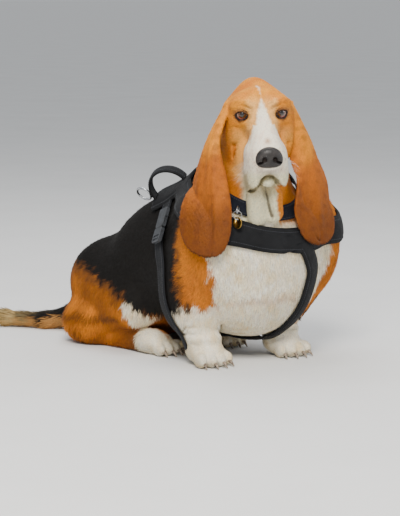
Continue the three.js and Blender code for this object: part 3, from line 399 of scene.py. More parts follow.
EAR_ROWS, EAR_COLUMNS = 90, 36
ear_points, ear_tree = {}, {}
for s in SIDES:
    down = 1 - (1 - np.linspace(0, 0.9995, EAR_ROWS)) ** 1.3
    v, u = np.meshgrid(down, np.linspace(-1, 1, EAR_COLUMNS), indexing="ij")
    ear_points[s] = ear_sheet(s, u, v)
    flat = ear_points[s].reshape(-1, 3)
    ear_tree[s] = BVHTree.FromPolygons(flat.tolist(), grid_faces(EAR_ROWS, EAR_COLUMNS).tolist())
    print("ear", SIDE_NAME[s], "hangs to", round(float(flat[:, 2].min()), 1), "mm")

# %% [markdown]
# The field is read on a ruler that is fine at the head, ears and feet and coarser on the trunk.
# Surface nets then put one vertex in each crossed cell, which gives even four-sided faces.

# %% Read the field on a grid
def ruler(stops):
    marks = [np.arange(a, b, step) for a, b, step in stops]
    return np.concatenate(marks + [np.array([stops[-1][1]])])


XS = ruler([(-272, -156, 7.5), (-156, -97, 3.3), (-97, 76, 2.5), (76, 144, 3.3), (144, 222, 7.5)])
YS = ruler([(-228, -60, 2.5), (-60, -24, 3.2), (-24, 60, 7), (60, 132, 3.6), (132, 712, 7.5)])
ZS = ruler([(-14, 66, 3.4), (66, 215, 7.5), (215, 305, 3.3), (305, 548, 2.5)])
COAT_DEPTH = 1.2
EAR_HALF = 2.1
EAR_REACH = 8.0


def read_grid(forms, xs, ys, zs):
    d = np.full((len(xs), len(ys), len(zs)), FAR, np.float32)
    for form in forms:
        m = form.blend + REACH_MARGIN
        spans = []
        for axis, marks in enumerate((xs, ys, zs)):
            spans.append(slice(*np.searchsorted(marks, [form.low[axis] - m, form.high[axis] + m])))
        marks = [ruled[span] for ruled, span in zip((xs, ys, zs), spans)]
        if min(len(part) for part in marks) == 0:
            continue
        points = np.stack(np.meshgrid(*marks, indexing="ij"), -1)
        d[tuple(spans)] = joined(d[tuple(spans)], form.distance(points), form)
    return d


volume = read_grid(skin, XS, YS, ZS) + COAT_DEPTH
print("cells", volume.size, clock())


def ear_distance(s, points, most):
    out = np.full(len(points), most)
    find = ear_tree[s].find_nearest
    for i, p in enumerate(points.tolist()):
        hit = find(p, most)
        if hit[0] is not None:
            out[i] = hit[3]
    return out


def ear_box(s):
    flat = ear_points[s].reshape(-1, 3)
    return flat.min(0) - EAR_REACH, flat.max(0) + EAR_REACH


for s in SIDES:
    low, high = ear_box(s)
    spans = [slice(*np.searchsorted(marks, [a, b])) for marks, a, b in zip((XS, YS, ZS), low, high)]
    points = np.stack(np.meshgrid(XS[spans[0]], YS[spans[1]], ZS[spans[2]], indexing="ij"), -1)
    part = volume[tuple(spans)]
    leaf = ear_distance(s, points.reshape(-1, 3), EAR_REACH).reshape(part.shape) - EAR_HALF
    volume[tuple(spans)] = smooth_min(part, leaf, 3.0)
volume = np.maximum(volume, 0.3 - ZS[None, None, :].astype(np.float32))
print("ears read", clock())


# %% Wrap the grid in a net
def surface_net(values, xs, ys, zs):
    inside = values < 0
    shape = tuple(n - 1 for n in values.shape)
    count = np.zeros(shape, np.int8)
    for i in (0, 1):
        for j in (0, 1):
            for k in (0, 1):
                count += inside[i:shape[0] + i, j:shape[1] + j, k:shape[2] + k]
    crossed = (count > 0) & (count < 8)
    number = np.full(shape, -1, np.int64)
    cells = np.argwhere(crossed)
    number[crossed] = np.arange(len(cells))
    marks = (xs, ys, zs)
    total, hits = np.zeros((len(cells), 3)), np.zeros(len(cells))
    for axis in range(3):
        b, c = [t for t in range(3) if t != axis]
        for ob in (0, 1):
            for oc in (0, 1):
                offset = np.zeros(3, int)
                offset[b], offset[c] = ob, oc
                start = cells + offset
                end = start.copy()
                end[:, axis] += 1
                va, vb = values[tuple(start.T)], values[tuple(end.T)]
                cuts = (va < 0) != (vb < 0)
                t = np.where(cuts, va / np.where(cuts, va - vb, 1), 0)
                p = np.stack([marks[n][start[:, n]] for n in range(3)], -1).astype(float)
                p[:, axis] += t * (marks[axis][end[:, axis]] - marks[axis][start[:, axis]])
                total += p * cuts[:, None]
                hits += cuts
    quads = []
    for axis in range(3):
        b, c = [(1, 2), (2, 0), (0, 1)][axis]
        first, second = [slice(None)] * 3, [slice(None)] * 3
        first[axis], second[axis] = slice(0, -1), slice(1, None)
        edges = np.argwhere(inside[tuple(first)] != inside[tuple(second)])
        keep = (edges[:, b] > 0) & (edges[:, c] > 0)
        keep &= (edges[:, b] < values.shape[b] - 1) & (edges[:, c] < values.shape[c] - 1)
        edges = edges[keep]

        def cell(ob, oc):
            q = edges.copy()
            q[:, b] -= ob
            q[:, c] -= oc
            return number[tuple(q.T)]

        faces = np.stack([cell(1, 1), cell(0, 1), cell(0, 0), cell(1, 0)], -1)
        start_inside = inside[tuple(edges.T)]
        faces[~start_inside] = faces[~start_inside][:, ::-1]
        quads.append(faces)
    return total / hits[:, None], np.concatenate(quads)


def largest_part(points, faces):
    label = np.arange(len(points))
    while True:
        low = label[faces].min(1)
        fresh = label.copy()
        np.minimum.at(fresh, faces.ravel(), np.repeat(low, faces.shape[1]))
        fresh = fresh[fresh]
        if (fresh == label).all():
            break
        label = fresh
    names, counts = np.unique(label[faces[:, 0]], return_counts=True)
    kept = faces[label[faces[:, 0]] == names[counts.argmax()]]
    used = np.unique(kept)
    place = np.full(len(points), -1)
    place[used] = np.arange(len(used))
    return points[used], place[kept]


skin_points, skin_faces = largest_part(*surface_net(volume, XS, YS, ZS))
print("skin vertices", len(skin_points), "faces", len(skin_faces), clock())

# %% [markdown]
# A net is a little stepped, so each vertex slides along the slope of the field until it lies on
# the skin's level. Vertices of the ears slide towards the ear's own sheet in the same way.

# %% Settle the skin
def settle(points, forms, level=0.0, rounds=3, most=4.0):
    for _ in range(rounds):
        slope = slope_at(points, forms)
        steep = np.maximum(np.linalg.norm(slope, axis=1, keepdims=True), 0.3)
        miss = np.clip(level - field_at(points, forms), -most, most)[:, None]
        points = points + slope / steep * miss
    return points


def ear_pull(s, points):
    near, foot = np.full(len(points), FAR), points.copy()
    low, high = ear_box(s)
    for i in np.flatnonzero(np.all((points > low) & (points < high), axis=1)):
        hit = ear_tree[s].find_nearest(points[i].tolist(), EAR_REACH)
        if hit[0] is not None:
            foot[i] = hit[0]
            near[i] = hit[3]
    return near, foot


own = field_at(skin_points, skin) + COAT_DEPTH
ear_share = np.zeros(len(skin_points))
for s in SIDES:
    near, foot = ear_pull(s, skin_points)
    lead = own - (near - EAR_HALF)
    found = near < EAR_REACH
    ear_share = np.maximum(ear_share, ramp(-3, 3, lead) * found)
    away = unit(skin_points - foot)
    firm = (lead > 3.5) & found & (near > 0.4)
    skin_points[firm] = foot[firm] + away[firm] * EAR_HALF
rest = (ear_share < 0.02) & (skin_points[:, 2] > 4)
skin_points[rest] = settle(skin_points[rest], skin, -COAT_DEPTH, rounds=2)
skin_points[:, 2] = np.maximum(skin_points[:, 2], 0.3)
print("ear vertices", int((ear_share > 0.5).sum()), "settled", int(rest.sum()), clock())

# %% [markdown]
# The markings are smooth functions of place, ruffled by a sum of waves so that no edge is ruled. The same
# function colours the skin and every tuft of coat, so the two always agree. Beside the markings it paints
# shade into creases, hollows and along the mouth.

# %% Colours of the coat
def linear(code):
    parts = np.array([int(code[i:i + 2], 16) / 255 for i in (0, 2, 4)])
    return np.where(parts < 0.04045, parts / 12.92, ((parts + 0.055) / 1.055) ** 2.4)


TAN = linear("cb7412")
GOLD = linear("e29628")
PEACH = linear("eeb56a")
RUST = linear("703c10")
CHESTNUT = linear("ab5f14")
SABLE = linear("6b3f17")
WHITE = linear("f6ead4")
CREAM = linear("e6d2a9")
BLACK = linear("100d0b")
# colour of the dark lip edge, also used for the painted shade along the mouth
LIP_AND_SHADE = linear("5c463c")
RIM = linear("1d1310")

WAVES = [(unit(draw.normal(size=3)), draw.uniform(0, 6.28), draw.uniform(0.6, 1.7)) for _ in range(24)]


def ruffle(points, size, first=0, count=8):
    total = np.zeros(len(points))
    for way, phase, pitch in WAVES[first:first + count]:
        total += np.sin(points @ way * (6.28 * pitch / size) + phase)
    return total / math.sqrt(count / 2)


def blend(base, colour, mask):
    return base + (colour - base) * mask[:, None]


SADDLE_Y = [-60, -30, 40, 90, 123, 145, 208, 297, 340, 400, 460]
SADDLE_Z = [84, 78, 60, 60, 84, 106, 138, 160, 150, 60, 30]


def under_line(y, z, line):
    """How far points lie below a line of (y, z) marks, in mm."""
    line = np.array(line, float)
    return np.interp(y, line[:, 0], line[:, 1]) - z


def body_colour(p):
    x, y, z = p.T
    wide, fine = ruffle(p, 90), ruffle(p, 22, 8)
    tone = blend(np.tile(TAN, (len(p), 1)), CHESTNUT, 0.4 + 0.3 * wide)
    rump = ramp(150, 240, y) * ramp(200, 130, z)
    tone = blend(tone, linear("8a4d12"), rump * np.clip(0.55 + 0.35 * wide, 0, 1))
    # painted shade: a dark brown line where the hind leg folds against the trunk
    fold = np.exp(-(((z - 66 - 4 * wide) / 9) ** 2)) * ramp(150, 180, y) * ramp(360, 320, y)
    tone = blend(tone, linear("4a2a10"), 0.75 * fold)
    # painted shade: the hind feet darkened low down, under the bent knee and the belly
    heel = ramp(200, 160, y) * ramp(130, 150, y) * ramp(62, 40, z)
    tone = blend(tone, linear("5b3416"), 0.7 * heel)
    spine = np.interp(y, [-60, 90, 200, 300, 380], [10, 6, -18, -40, -62])
    low = np.interp(y, SADDLE_Y, SADDLE_Z) + 5 * wide + 5 * fine
    low = low - 70 * ramp(46, 20, np.abs(x - spine)) * ramp(290, 340, y)
    front = np.interp(z, [90, 110, 137, 162, 186, 228, 300, 345], [-30, -34, -27, -17, 0, 2, -8, 12])
    front = front + 4 * fine + 4 * wide
    fringe = ramp(low - 34, low + 2, z) * ramp(front - 20, front, y) * ramp(470, 430, y)
    tone = blend(tone, SABLE, fringe)
    black = ramp(low - 5, low + 9, z) * ramp(front - 5, front + 7, y) * ramp(440, 415, y)
    tone = blend(tone, BLACK, black)
    nape = ramp(-70, -10, y + 0.25 * (z - 400)) * ramp(340, 372, z)
    tone = blend(tone, SABLE, nape * 0.6)
    edge = np.interp(x, [-150, -128, -104, -70, 90, 135, 175], [-102, -86, -74, -46, -40, -84, -112])
    chest = ramp(edge + 7, edge - 7, y + 4 * fine + 3 * wide) * ramp(322, 300, z + 5 * fine)
    under = ramp(66, 48, z + 6 * wide) * ramp(118, 92, np.abs(x - spine)) * ramp(120, 70, y)
    white = np.maximum(chest, under)
    stripe_top = [(76, 40), (96, 46), (123, 84), (131, 98), (146, 110), (150, 60)]
    stripe = ramp(-5, 5, under_line(y, z + 4 * fine, stripe_top)) * ramp(154, 143, y + 4 * fine + 0.05 * z)
    stripe = stripe * ramp(30, 50, y) * ramp(100, 112, np.abs(x - spine))
    foot = ramp(40, 30, z + 3 * fine) * ramp(150, 138, y) * ramp(30, 44, y)
    white = np.maximum(white, np.maximum(stripe, foot))
    fore = (y < 64) & (np.abs(y + 10) < 75) & (z < 190)
    knee = np.where(x < 0, 108, 66) + 6 * fine + 0.25 * (-y - 30)
    white = np.maximum(white, fore * ramp(knee + 9, knee - 9, z))
    tone = blend(tone, WHITE, white)
    dirty = white * np.clip(0.3 + 0.3 * ruffle(p, 34, 16), 0, 1)
    tone = blend(tone, CREAM, dirty)
    # painted shade: a darker line across the front of the chest, in the crease at the top of the forelegs
    chest_crease_shade = np.exp(-(((z - 133 - 5 * wide) / 5.0) ** 2)) * ramp(-70, -86, y) * (np.abs(x + 10) < 75)
    tone = blend(tone, linear("b79479"), 0.55 * chest_crease_shade)
    return tone


def tail_colour(p, tone):
    x, y, z = p.T
    on_tail = ramp(392, 412, y) * ramp(-40, -60, x)
    fine = ruffle(p, 26, 8)
    axis = np.interp(y, [380, 430, 480, 550, 630, 695], [66, 34, 17, 18, 32, 56])
    top = ramp(-3, 5, z - axis + 3 * fine)
    shade = blend(np.tile(linear("a9773f"), (len(p), 1)), BLACK, top)
    shade = blend(shade, linear("b79a63"), ramp(470, 560, y + 8 * fine) * 0.85)
    shade = blend(shade, linear("ecdcb8"), ramp(570, 630, y + 6 * fine))
    return blend(tone, shade, on_tail)


def line_gap(q, line):
    """Distance of head points from a line, with depth counted at a third."""
    flat = np.array([1, 0.33, 1])
    gap = np.full(len(q), 99.0)
    for a, b in zip(np.array(line[:-1], float) * flat, np.array(line[1:], float) * flat):
        t = np.clip(((q * flat - a) @ (b - a)) / ((b - a) @ (b - a)), 0, 1)
        gap = np.minimum(gap, np.linalg.norm(q * flat - a - t[:, None] * (b - a), axis=1))
    return gap


def head_colour(p):
    q = to_head(p)
    x, y, z = q.T
    wide, fine = ruffle(p, 60), ruffle(p, 12, 8)
    tone = blend(np.tile(GOLD, (len(p), 1)), TAN, np.clip(0.45 + 0.3 * wide + ramp(30, 90, y) * 0.4, 0, 1))
    tone = blend(tone, RUST, 0.75 * ramp(-6, 52, y) * ramp(-42, -76, z))
    pale = ramp(34, 22, np.abs(x)) * ramp(0, -30, y) + ramp(10, -24, y) * ramp(-24, -44, z)
    tone = blend(tone, PEACH, np.clip(pale, 0, 1) * 0.85)
    line = np.interp(y, [-60, -38, -22, -8, 24, 48], [15, 10.5, 4.0, -1.5, 1.6, 1.0])
    half = np.where(z > -18, line, np.interp(y, [-110, -84, -60, -44, -20], [60, 34, 25, 17, 8]))
    blaze = ramp(half + 3.5, half - 2.5, np.abs(x + 0.5) + 0.8 * fine) * ramp(62, 40, y)
    muzzle = ramp(-26, -50, y + 3 * fine + 0.16 * (z + 60)) * ramp(-32, -50, z)
    white = np.maximum(blaze, muzzle)
    tone = blend(tone, WHITE, white)
    blush = ramp(-0.2, 1.2, ruffle(p, 20, 16)) * white * ramp(0, -40, y)
    tone = blend(tone, linear("e6cdb9"), 0.5 * blush)
    freckle = ramp(1.2, 1.7, ruffle(p, 7.5, 12)) * ramp(-10, -36, y) * ramp(-26, -46, z)
    tone = blend(tone, linear("b98a66"), 0.5 * freckle * ramp(8, 16, np.abs(x)))
    spot = np.exp(-((x / 5.5) ** 2 + ((y + 103) / 9) ** 2)) * ramp(-60, -46, z)
    tone = blend(tone, linear("a5805f"), 0.8 * spot)
    grey = np.exp(-((x / 15) ** 2)) * ramp(-104, -114, y) * ramp(-80, -86, z)
    tone = blend(tone, linear("a39488"), 0.8 * grey)
    # the real dark lip edge along the mouth, widened into a band of painted shade under the hanging lips
    slit = line_gap(q, MOUTH)
    tone = blend(tone, LIP_AND_SHADE, ramp(5.6, 3.2, slit) * 0.85)
    tone = blend(tone, RIM, ramp(3.6, 2.0, slit) * 0.95)
    pad = np.linalg.norm((q - [0, -119, -63]) / [24, 13, 20], axis=1)
    tone = blend(tone, RIM, ramp(1.02, 0.94, pad))
    for s in SIDES:
        gap = np.linalg.norm(q - EYE_AT * [s, 1, 1], axis=1)
        # painted shade: a brown ring darkens the hollow round each eye
        tone = blend(tone, linear("8a5c3c"), 0.55 * ramp(20, 15.5, gap))
        tone = blend(tone, RIM, ramp(16.6, 15.0, gap))
    chin = ramp(-96, -106, z) * ramp(-46, -60, y) * ramp(15, 10, np.abs(x))
    tone = blend(tone, linear("d8cdbd"), chin * 0.6)
    return tone


def on_dewlap(p):
    return ramp(-92, -104, p[:, 1]) * ramp(268, 284, p[:, 2]) * ramp(384, 366, p[:, 2])


def throat_colour(p, tone):
    fine = ruffle(p, 14, 8)
    q = to_head(p)
    tan = ramp(15, 21, q[:, 0] + 0.12 * (q[:, 2] + 150) + 1.5 * fine) * ramp(-118, -128, q[:, 2])
    pale = blend(np.tile(linear("e4dcb8"), (len(p), 1)), linear("d07a14"), tan)
    # painted shade: the dewlap darker low down and back towards the throat
    shade = ramp(-158, -130, q[:, 2]) * ramp(-100, -90, q[:, 1])
    pale = blend(pale, linear("a08a5e"), 0.6 * shade * (1 - tan))
    # painted shade: a dark line in the crease between the two folds of the dewlap
    dewlap_crease_shade = ramp(4.6, 2.0, line_gap(q, CREASE))
    pale = blend(pale, linear("38271a"), 0.85 * dewlap_crease_shade)
    return blend(tone, pale, on_dewlap(p))


def ear_colour(p):
    fine, wide = ruffle(p, 24, 8), ruffle(p, 70)
    tone = np.tile(linear("dd8a20"), (len(p), 1))
    tone = blend(tone, linear("b2611a"), ramp(440, 370, p[:, 2] + 10 * wide))
    tone = blend(tone, RUST, 0.9 * ramp(370, 262, p[:, 2] + 9 * wide))
    return blend(tone, linear("5d2f18"), np.clip(0.22 * fine, 0, 0.35) + 0.25 * ramp(250, 225, p[:, 2]))


def above_neck(p):
    """Height of points over the slanting line that parts head from neck, in mm."""
    return p[:, 2] - (0.55 * (p[:, 1] + 60) + 372)


def coat_colour(p, ear):
    tone = tail_colour(p, body_colour(p))
    on_head = ramp(-12, 10, above_neck(p))
    if (on_head > 0).any():
        tone = blend(tone, head_colour(p), on_head)
    q = to_head(p)
    snout = ramp(-22, -34, q[:, 1]) * ramp(-140, -132, q[:, 2])
    tone = blend(tone, head_colour(p), snout)
    tone = throat_colour(p, tone)
    return blend(tone, ear_colour(p), ear)


skin_tone = coat_colour(skin_points, ear_share)
print("skin tones", skin_tone.shape, clock())

# %% [markdown]
# Materials are built from nodes. Every finish takes its colour from place or from an attribute and
# breaks it up with noise, and its bump has the size of the real hair, weave or grain.

# %% Material helpers
class Finish:
    def __init__(self, name, **values):
        self.material = bpy.data.materials.new(name)
        self.material.use_nodes = True
        self.tree = self.material.node_tree
        self.shader = self.tree.nodes["Principled BSDF"]
        for socket, value in values.items():
            self.shader.inputs[socket.replace("_", " ")].default_value = value

    def node(self, kind, values=None, **settings):
        made = self.tree.nodes.new(kind)
        for key, value in settings.items():
            setattr(made, key, value)
        for key, value in (values or {}).items():
            made.inputs[key].default_value = value
        return made

    def wire(self, output, target):
        self.tree.links.new(output, target)
        return target

    def place(self):
        return self.node("ShaderNodeTexCoord").outputs["Object"]

    def noise(self, scale, detail=3.0):
        made = self.node("ShaderNodeTexNoise", {"Scale": scale, "Detail": detail, "Roughness": 0.6})
        self.wire(self.place(), made.inputs["Vector"])
        return made.outputs["Fac"]

    def spread(self, value, low, high, start=0.25, end=0.75):
        span = {"From Min": start, "From Max": end, "To Min": low, "To Max": high}
        made = self.node("ShaderNodeMapRange", span)
        self.wire(value, made.inputs["Value"])
        return made.outputs["Result"]

    def sum(self, operation, a, b):
        made = self.node("ShaderNodeMath", operation=operation)
        for socket, value in zip(made.inputs, (a, b)):
            if isinstance(value, (int, float)):
                socket.default_value = value
            else:
                self.wire(value, socket)
        return made.outputs[0]

    def colours(self, value, stops):
        made = self.node("ShaderNodeValToRGB")
        band = made.color_ramp
        while len(band.elements) < len(stops):
            band.elements.new(0.5)
        for element, (at, colour) in zip(band.elements, stops):
            element.position = at
            element.color = (*colour, 1)
        self.wire(value, made.inputs["Fac"])
        return made.outputs["Color"]

    def tinted(self, colour, value):
        made = self.node("ShaderNodeVectorMath", operation="SCALE")
        self.wire(colour, made.inputs[0])
        self.wire(value, made.inputs["Scale"])
        return made.outputs[0]

    def paint(self, colour):
        self.wire(colour, self.shader.inputs["Base Color"])

    def mottle(self, scale, dark, light, detail=3.0, start=0.3):
        """Paints two tones mixed by noise."""
        self.paint(self.colours(self.noise(scale, detail), [(start, dark), (0.7, light)]))

    def dull(self, value):
        self.wire(value, self.shader.inputs["Roughness"])

    def bump(self, value, strength, distance):
        made = self.node("ShaderNodeBump", {"Strength": strength, "Distance": distance})
        self.wire(value, made.inputs["Height"])
        self.wire(made.outputs["Normal"], self.shader.inputs["Normal"])


def coat_finish(name, fleck, strength):
    finish = Finish(name, Sheen_Weight=0.03, Sheen_Roughness=0.5, Specular_IOR_Level=0.2)
    tone = finish.node("ShaderNodeAttribute", attribute_name="coat_tone").outputs["Color"]
    speckle = finish.spread(finish.noise(fleck, 4.0), 0.8, 1.16)
    finish.paint(finish.tinted(tone, speckle))
    finish.dull(finish.spread(finish.noise(160, 2.0), 0.58, 0.8))
    finish.bump(finish.sum("ADD", finish.noise(900, 2.0), finish.noise(300, 3.0)), strength, 0.0008)
    return finish.material


skin_finish = coat_finish("short_coat", 420, 0.5)
tuft_finish = coat_finish("coat_tufts", 260, 0.12)
print("coat finishes made")

# %% Mesh helpers
def mesh_from(name, points, faces):
    mesh = bpy.data.meshes.new(name)
    faces = np.asarray(faces, np.int32)
    size = faces.shape[1]
    mesh.vertices.add(len(points))
    mesh.vertices.foreach_set("co", to_row(points).astype(np.float32).ravel())
    mesh.loops.add(faces.size)
    mesh.loops.foreach_set("vertex_index", faces.ravel())
    mesh.polygons.add(len(faces))
    mesh.polygons.foreach_set("loop_start", np.arange(0, faces.size, size, dtype=np.int32))
    mesh.update(calc_edges=True)
    mesh.validate()
    mesh.polygons.foreach_set("use_smooth", np.full(len(mesh.polygons), True))
    return mesh


def piece(name, mesh, material, nodes=()):
    made = bpy.data.objects.new(name, mesh)
    bpy.context.scene.collection.objects.link(made)
    made.data.materials.append(material)
    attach(made, "root")
    if nodes:
        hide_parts(*nodes)
    return made


def colour_layer(mesh, name, tones):
    layer = mesh.color_attributes.new(name, "FLOAT_COLOR", "POINT")
    full = np.ones((len(tones), 4), np.float32)
    full[:, :3] = tones
    layer.data.foreach_set("color", full.ravel())


FLESH = ["torso", "neck", "head", "tail_base", "tail_tip"]
for s in SIDES:
    FLESH += [part + "_" + SIDE_NAME[s] for part in ("ear", "foreleg", "forepaw", "hindleg", "hindpaw")]
skin_mesh = mesh_from("skin", skin_points, skin_faces)
colour_layer(skin_mesh, "coat_tone", skin_tone)
skin_piece = piece("skin", skin_mesh, skin_finish, FLESH)
print("skin", len(skin_mesh.polygons), "faces", clock())

# %% [markdown]
# Each tuft later needs a place on a flat map of the skin, so the skin is unwrapped first. Charts
# are cut by the way the skin faces, which a scattered coat doesn't mind.

# %% Unwrap the skin
bpy.context.view_layer.objects.active = skin_piece
skin_piece.select_set(True)
skin_mesh.uv_layers.new(name="OFBake")
bpy.ops.object.mode_set(mode="EDIT")
bpy.ops.mesh.select_all(action="SELECT")
bpy.ops.uv.smart_project(angle_limit=math.radians(66), island_margin=0.001)
bpy.ops.object.mode_set(mode="OBJECT")
skin_uv = np.zeros(len(skin_mesh.loops) * 2, np.float32)
skin_mesh.uv_layers["OFBake"].data.foreach_get("uv", skin_uv)
skin_uv = skin_uv.reshape(-1, 4, 2)
print("unwrapped", clock())

# %% [markdown]
# The coat lies backwards along the trunk, down the legs, chest and ears, and from the nose back
# over the skull. A tuft is a thin closed sliver: three corners at its root and one at its tip.

# %% Lie and length of the coat
def coat_lie(p, ear):
    _, y, z = p.T
    way = np.tile([0.0, 0.8, -0.5], (len(p), 1))

    def towards(direction, mask):
        return way + (np.asarray(direction, float) - way) * mask[:, None]

    way = towards((0, 0.25, -1), ramp(150, 110, z))
    way = towards((0, 0.05, -1), ramp(-40, -80, y) * ramp(330, 300, z))
    way = towards((0, 0.6, -0.9), ramp(270, 330, z))
    feet = ramp(70, 40, z) * ramp(140, 110, y)
    way = towards((0, -0.8, -0.4), feet)
    axis = np.array(TAIL, float)
    for a, b in zip(axis[:-1], axis[1:]):
        way = towards(unit(b - a), ramp(a[1] - 10, a[1] + 10, y) * (y > 385))
    head = ramp(-12, 10, above_neck(p))
    back = np.array([0.0, 1.0, -0.15]) @ HEAD_TURN.T
    way = towards(back, head)
    return towards((0, 0.05, -1), ear)


def coat_length(p, ear):
    _, y, z = p.T
    size = np.full(len(p), 11.0)
    size += 6 * ramp(170, 300, y) * ramp(130, 60, z)
    size += 7 * ramp(400, 430, y)
    size += 5 * ramp(110, 70, z) * ramp(-20, 40, y) * ramp(170, 130, y)
    size += 4 * ramp(-60, -90, y) * ramp(300, 200, z)
    size = size + (4.5 - size) * ramp(80, 50, z) * ramp(150, 120, y)
    head = ramp(-12, 10, above_neck(p))
    size = size + (5.5 - size) * head
    size = size + (3.2 - size) * ramp(-20, -50, to_head(p)[:, 1]) * ramp(330, 350, z)
    size = size + (5.5 - size) * on_dewlap(p)
    return size + (5.0 - size) * ear


corners = skin_points[skin_faces]
face_normal = np.cross(corners[:, 2] - corners[:, 0], corners[:, 3] - corners[:, 1])
face_area = 0.5 * np.linalg.norm(face_normal, axis=1)
face_normal = unit(face_normal)
point_normal = np.zeros_like(skin_points)
for k in range(4):
    np.add.at(point_normal, skin_faces[:, k], face_normal * face_area[:, None])
point_normal = unit(point_normal)
face_middle = corners.mean(1)
print("skin area, square metres", round(float(face_area.sum()) / 1e6, 3))

# %% [markdown]
# Roots are drawn over the skin by area, thicker where tufts are short. No hair grows on the nose, at the rims
# of the eyes or under the feet.

# %% Draw the roots
TUFTS = 290000
face_ear = ear_share[skin_faces].mean(1)
face_size = coat_length(face_middle, face_ear)
weight = face_area / np.maximum(face_size, 4.5) ** 1.25
weight[face_middle[:, 2] < 2.5] = 0
local = to_head(face_middle)
for s in SIDES:
    weight[np.linalg.norm(local - EYE_AT * [s, 1, 1], axis=1) < EYE_RADIUS + 3.4] = 0
weight[np.linalg.norm((local - [0, -120, -63]) / [25, 15, 21], axis=1) < 1.0] = 0
picked = np.sort(draw.choice(len(skin_faces), TUFTS, p=weight / weight.sum()))
a, b = draw.random((2, TUFTS, 1))
share = np.stack([(1 - a) * (1 - b), a * (1 - b), a * b, (1 - a) * b], 1)
root = (corners[picked] * share).sum(1)
root_normal = unit((point_normal[skin_faces[picked]] * share).sum(1))
root_uv = (skin_uv[picked] * share).sum(1)
root_ear = (ear_share[skin_faces[picked]] * share[..., 0]).sum(1)
print("tufts", TUFTS, clock())

# %% Make the tufts
root_size = coat_length(root, root_ear) * draw.uniform(0.7, 1.25, TUFTS)
lie = coat_lie(root, root_ear)
lie = unit(lie - (lie * root_normal).sum(1, keepdims=True) * root_normal)
side = np.cross(root_normal, lie)
stray = draw.normal(0, 0.2, TUFTS)[:, None]
lie = unit(lie + side * stray)
side = np.cross(root_normal, lie)
lift = np.clip(draw.normal(0.13, 0.05, TUFTS), 0.03, 0.4)[:, None]
tip = root + (lie + root_normal * lift) * root_size[:, None]
width = (0.45 + 0.045 * root_size)[:, None]
sink = root - root_normal * 0.5
tuft_points = np.stack([
    sink - side * width,
    sink + side * width,
    sink + root_normal * (0.9 + 0.02 * root_size[:, None]) + lie * 0.16 * root_size[:, None],
    tip,
], 1)
tuft_points[..., 2] = np.maximum(tuft_points[..., 2], 0.2)
SLIVER = np.array([[0, 2, 1], [0, 3, 2], [2, 3, 1], [1, 3, 0]])
vary = draw.normal(0.0, 1.0, TUFTS).clip(-2.5, 2.5) * (0.11 - 0.05 * root_ear)
tuft_tone = coat_colour(root, root_ear) * (1 + vary)[:, None]
warm = draw.normal(0, 0.05, (TUFTS, 1)) * np.array([1.0, 0.1, -1.0])
tuft_tone = np.clip(tuft_tone * (1 + warm), 0.002, 1)
PATCH = 0.003
patch = np.array([[-0.5, 0], [0.5, 0], [0, 0.3], [0, 1.0]]) * PATCH


def coat_piece(name, which):
    n = len(which)
    faces = (SLIVER[None] + 4 * np.arange(n)[:, None, None]).reshape(-1, 3)
    mesh = mesh_from(name, tuft_points[which].reshape(-1, 3), faces)
    tones = np.repeat(tuft_tone[which], 4, axis=0)
    # painted shade at each tuft's root and painted light at its tip
    tones[0::4] *= 0.72
    tones[1::4] *= 0.72
    tones[3::4] *= 1.12
    colour_layer(mesh, "coat_tone", np.clip(tones, 0, 1))
    flat = (root_uv[which][:, None] + patch[None]).reshape(-1, 2)[faces.ravel()]
    mesh.uv_layers.new(name="OFBake").data.foreach_set("uv", flat.astype(np.float32).ravel())
    lean = unit(np.repeat(root_normal[which], 4, axis=0) + np.tile([-0.25, 0.25, 0, 0], n)[:, None]
                * np.repeat(side[which], 4, axis=0))
    mesh.normals_split_custom_set_from_vertices(lean)
    return piece(name, mesh, tuft_finish)


hx, hy, hz = to_head(root).T
on_head = (above_neck(root) > 0) | ((hy < -20) & (hz > -140))
areas = {
    "coat_ears": root_ear > 0.5,
    "coat_head": (root_ear <= 0.5) & on_head,
    "coat_forelegs": (root[:, 2] < 130) & (root[:, 1] < 60),
    "coat_hind": (root[:, 1] >= 60) & (root[:, 2] < 140) & (root[:, 1] < 395),
    "coat_tail": root[:, 1] >= 395,
    "coat_neck": (root[:, 2] > 290),
}
taken = np.zeros(TUFTS, bool)
groups = {}
for name, mask in areas.items():
    groups[name] = np.flatnonzero(mask & ~taken)
    taken |= mask
groups["coat_trunk"] = np.flatnonzero(~taken)
MOST = 48000
for name, which in groups.items():
    for n, start in enumerate(range(0, len(which), MOST)):
        made = coat_piece(name + "_" + str(n + 1), which[start:start + MOST])
        print(made.name, len(made.data.polygons))
print("coat made", clock())

# %% [markdown]
# The eyes are wet globes, brown with a dark pupil and a dark ring, set under drooping lids. The
# lower lid hangs away and shows the pink haw, so the globe's lower part is painted pink.

# %% Eyes
EYE_RINGS, EYE_SPOKES = 40, 56


def globe_points():
    rings = np.linspace(0, math.pi, EYE_RINGS)
    spokes = np.linspace(0, 2 * math.pi, EYE_SPOKES, endpoint=False)
    t, f = np.meshgrid(rings, spokes, indexing="ij")
    points = np.stack([np.sin(t) * np.cos(f), np.sin(t) * np.sin(f), np.cos(t)], -1)
    return points.reshape(-1, 3), np.degrees(t.reshape(-1))


def wrapped_faces(rows, columns):
    n = np.arange(rows * columns).reshape(rows, columns)
    m = np.roll(n, -1, axis=1)
    return np.stack([n[:-1], n[1:], m[1:], m[:-1]], -1).reshape(-1, 4)


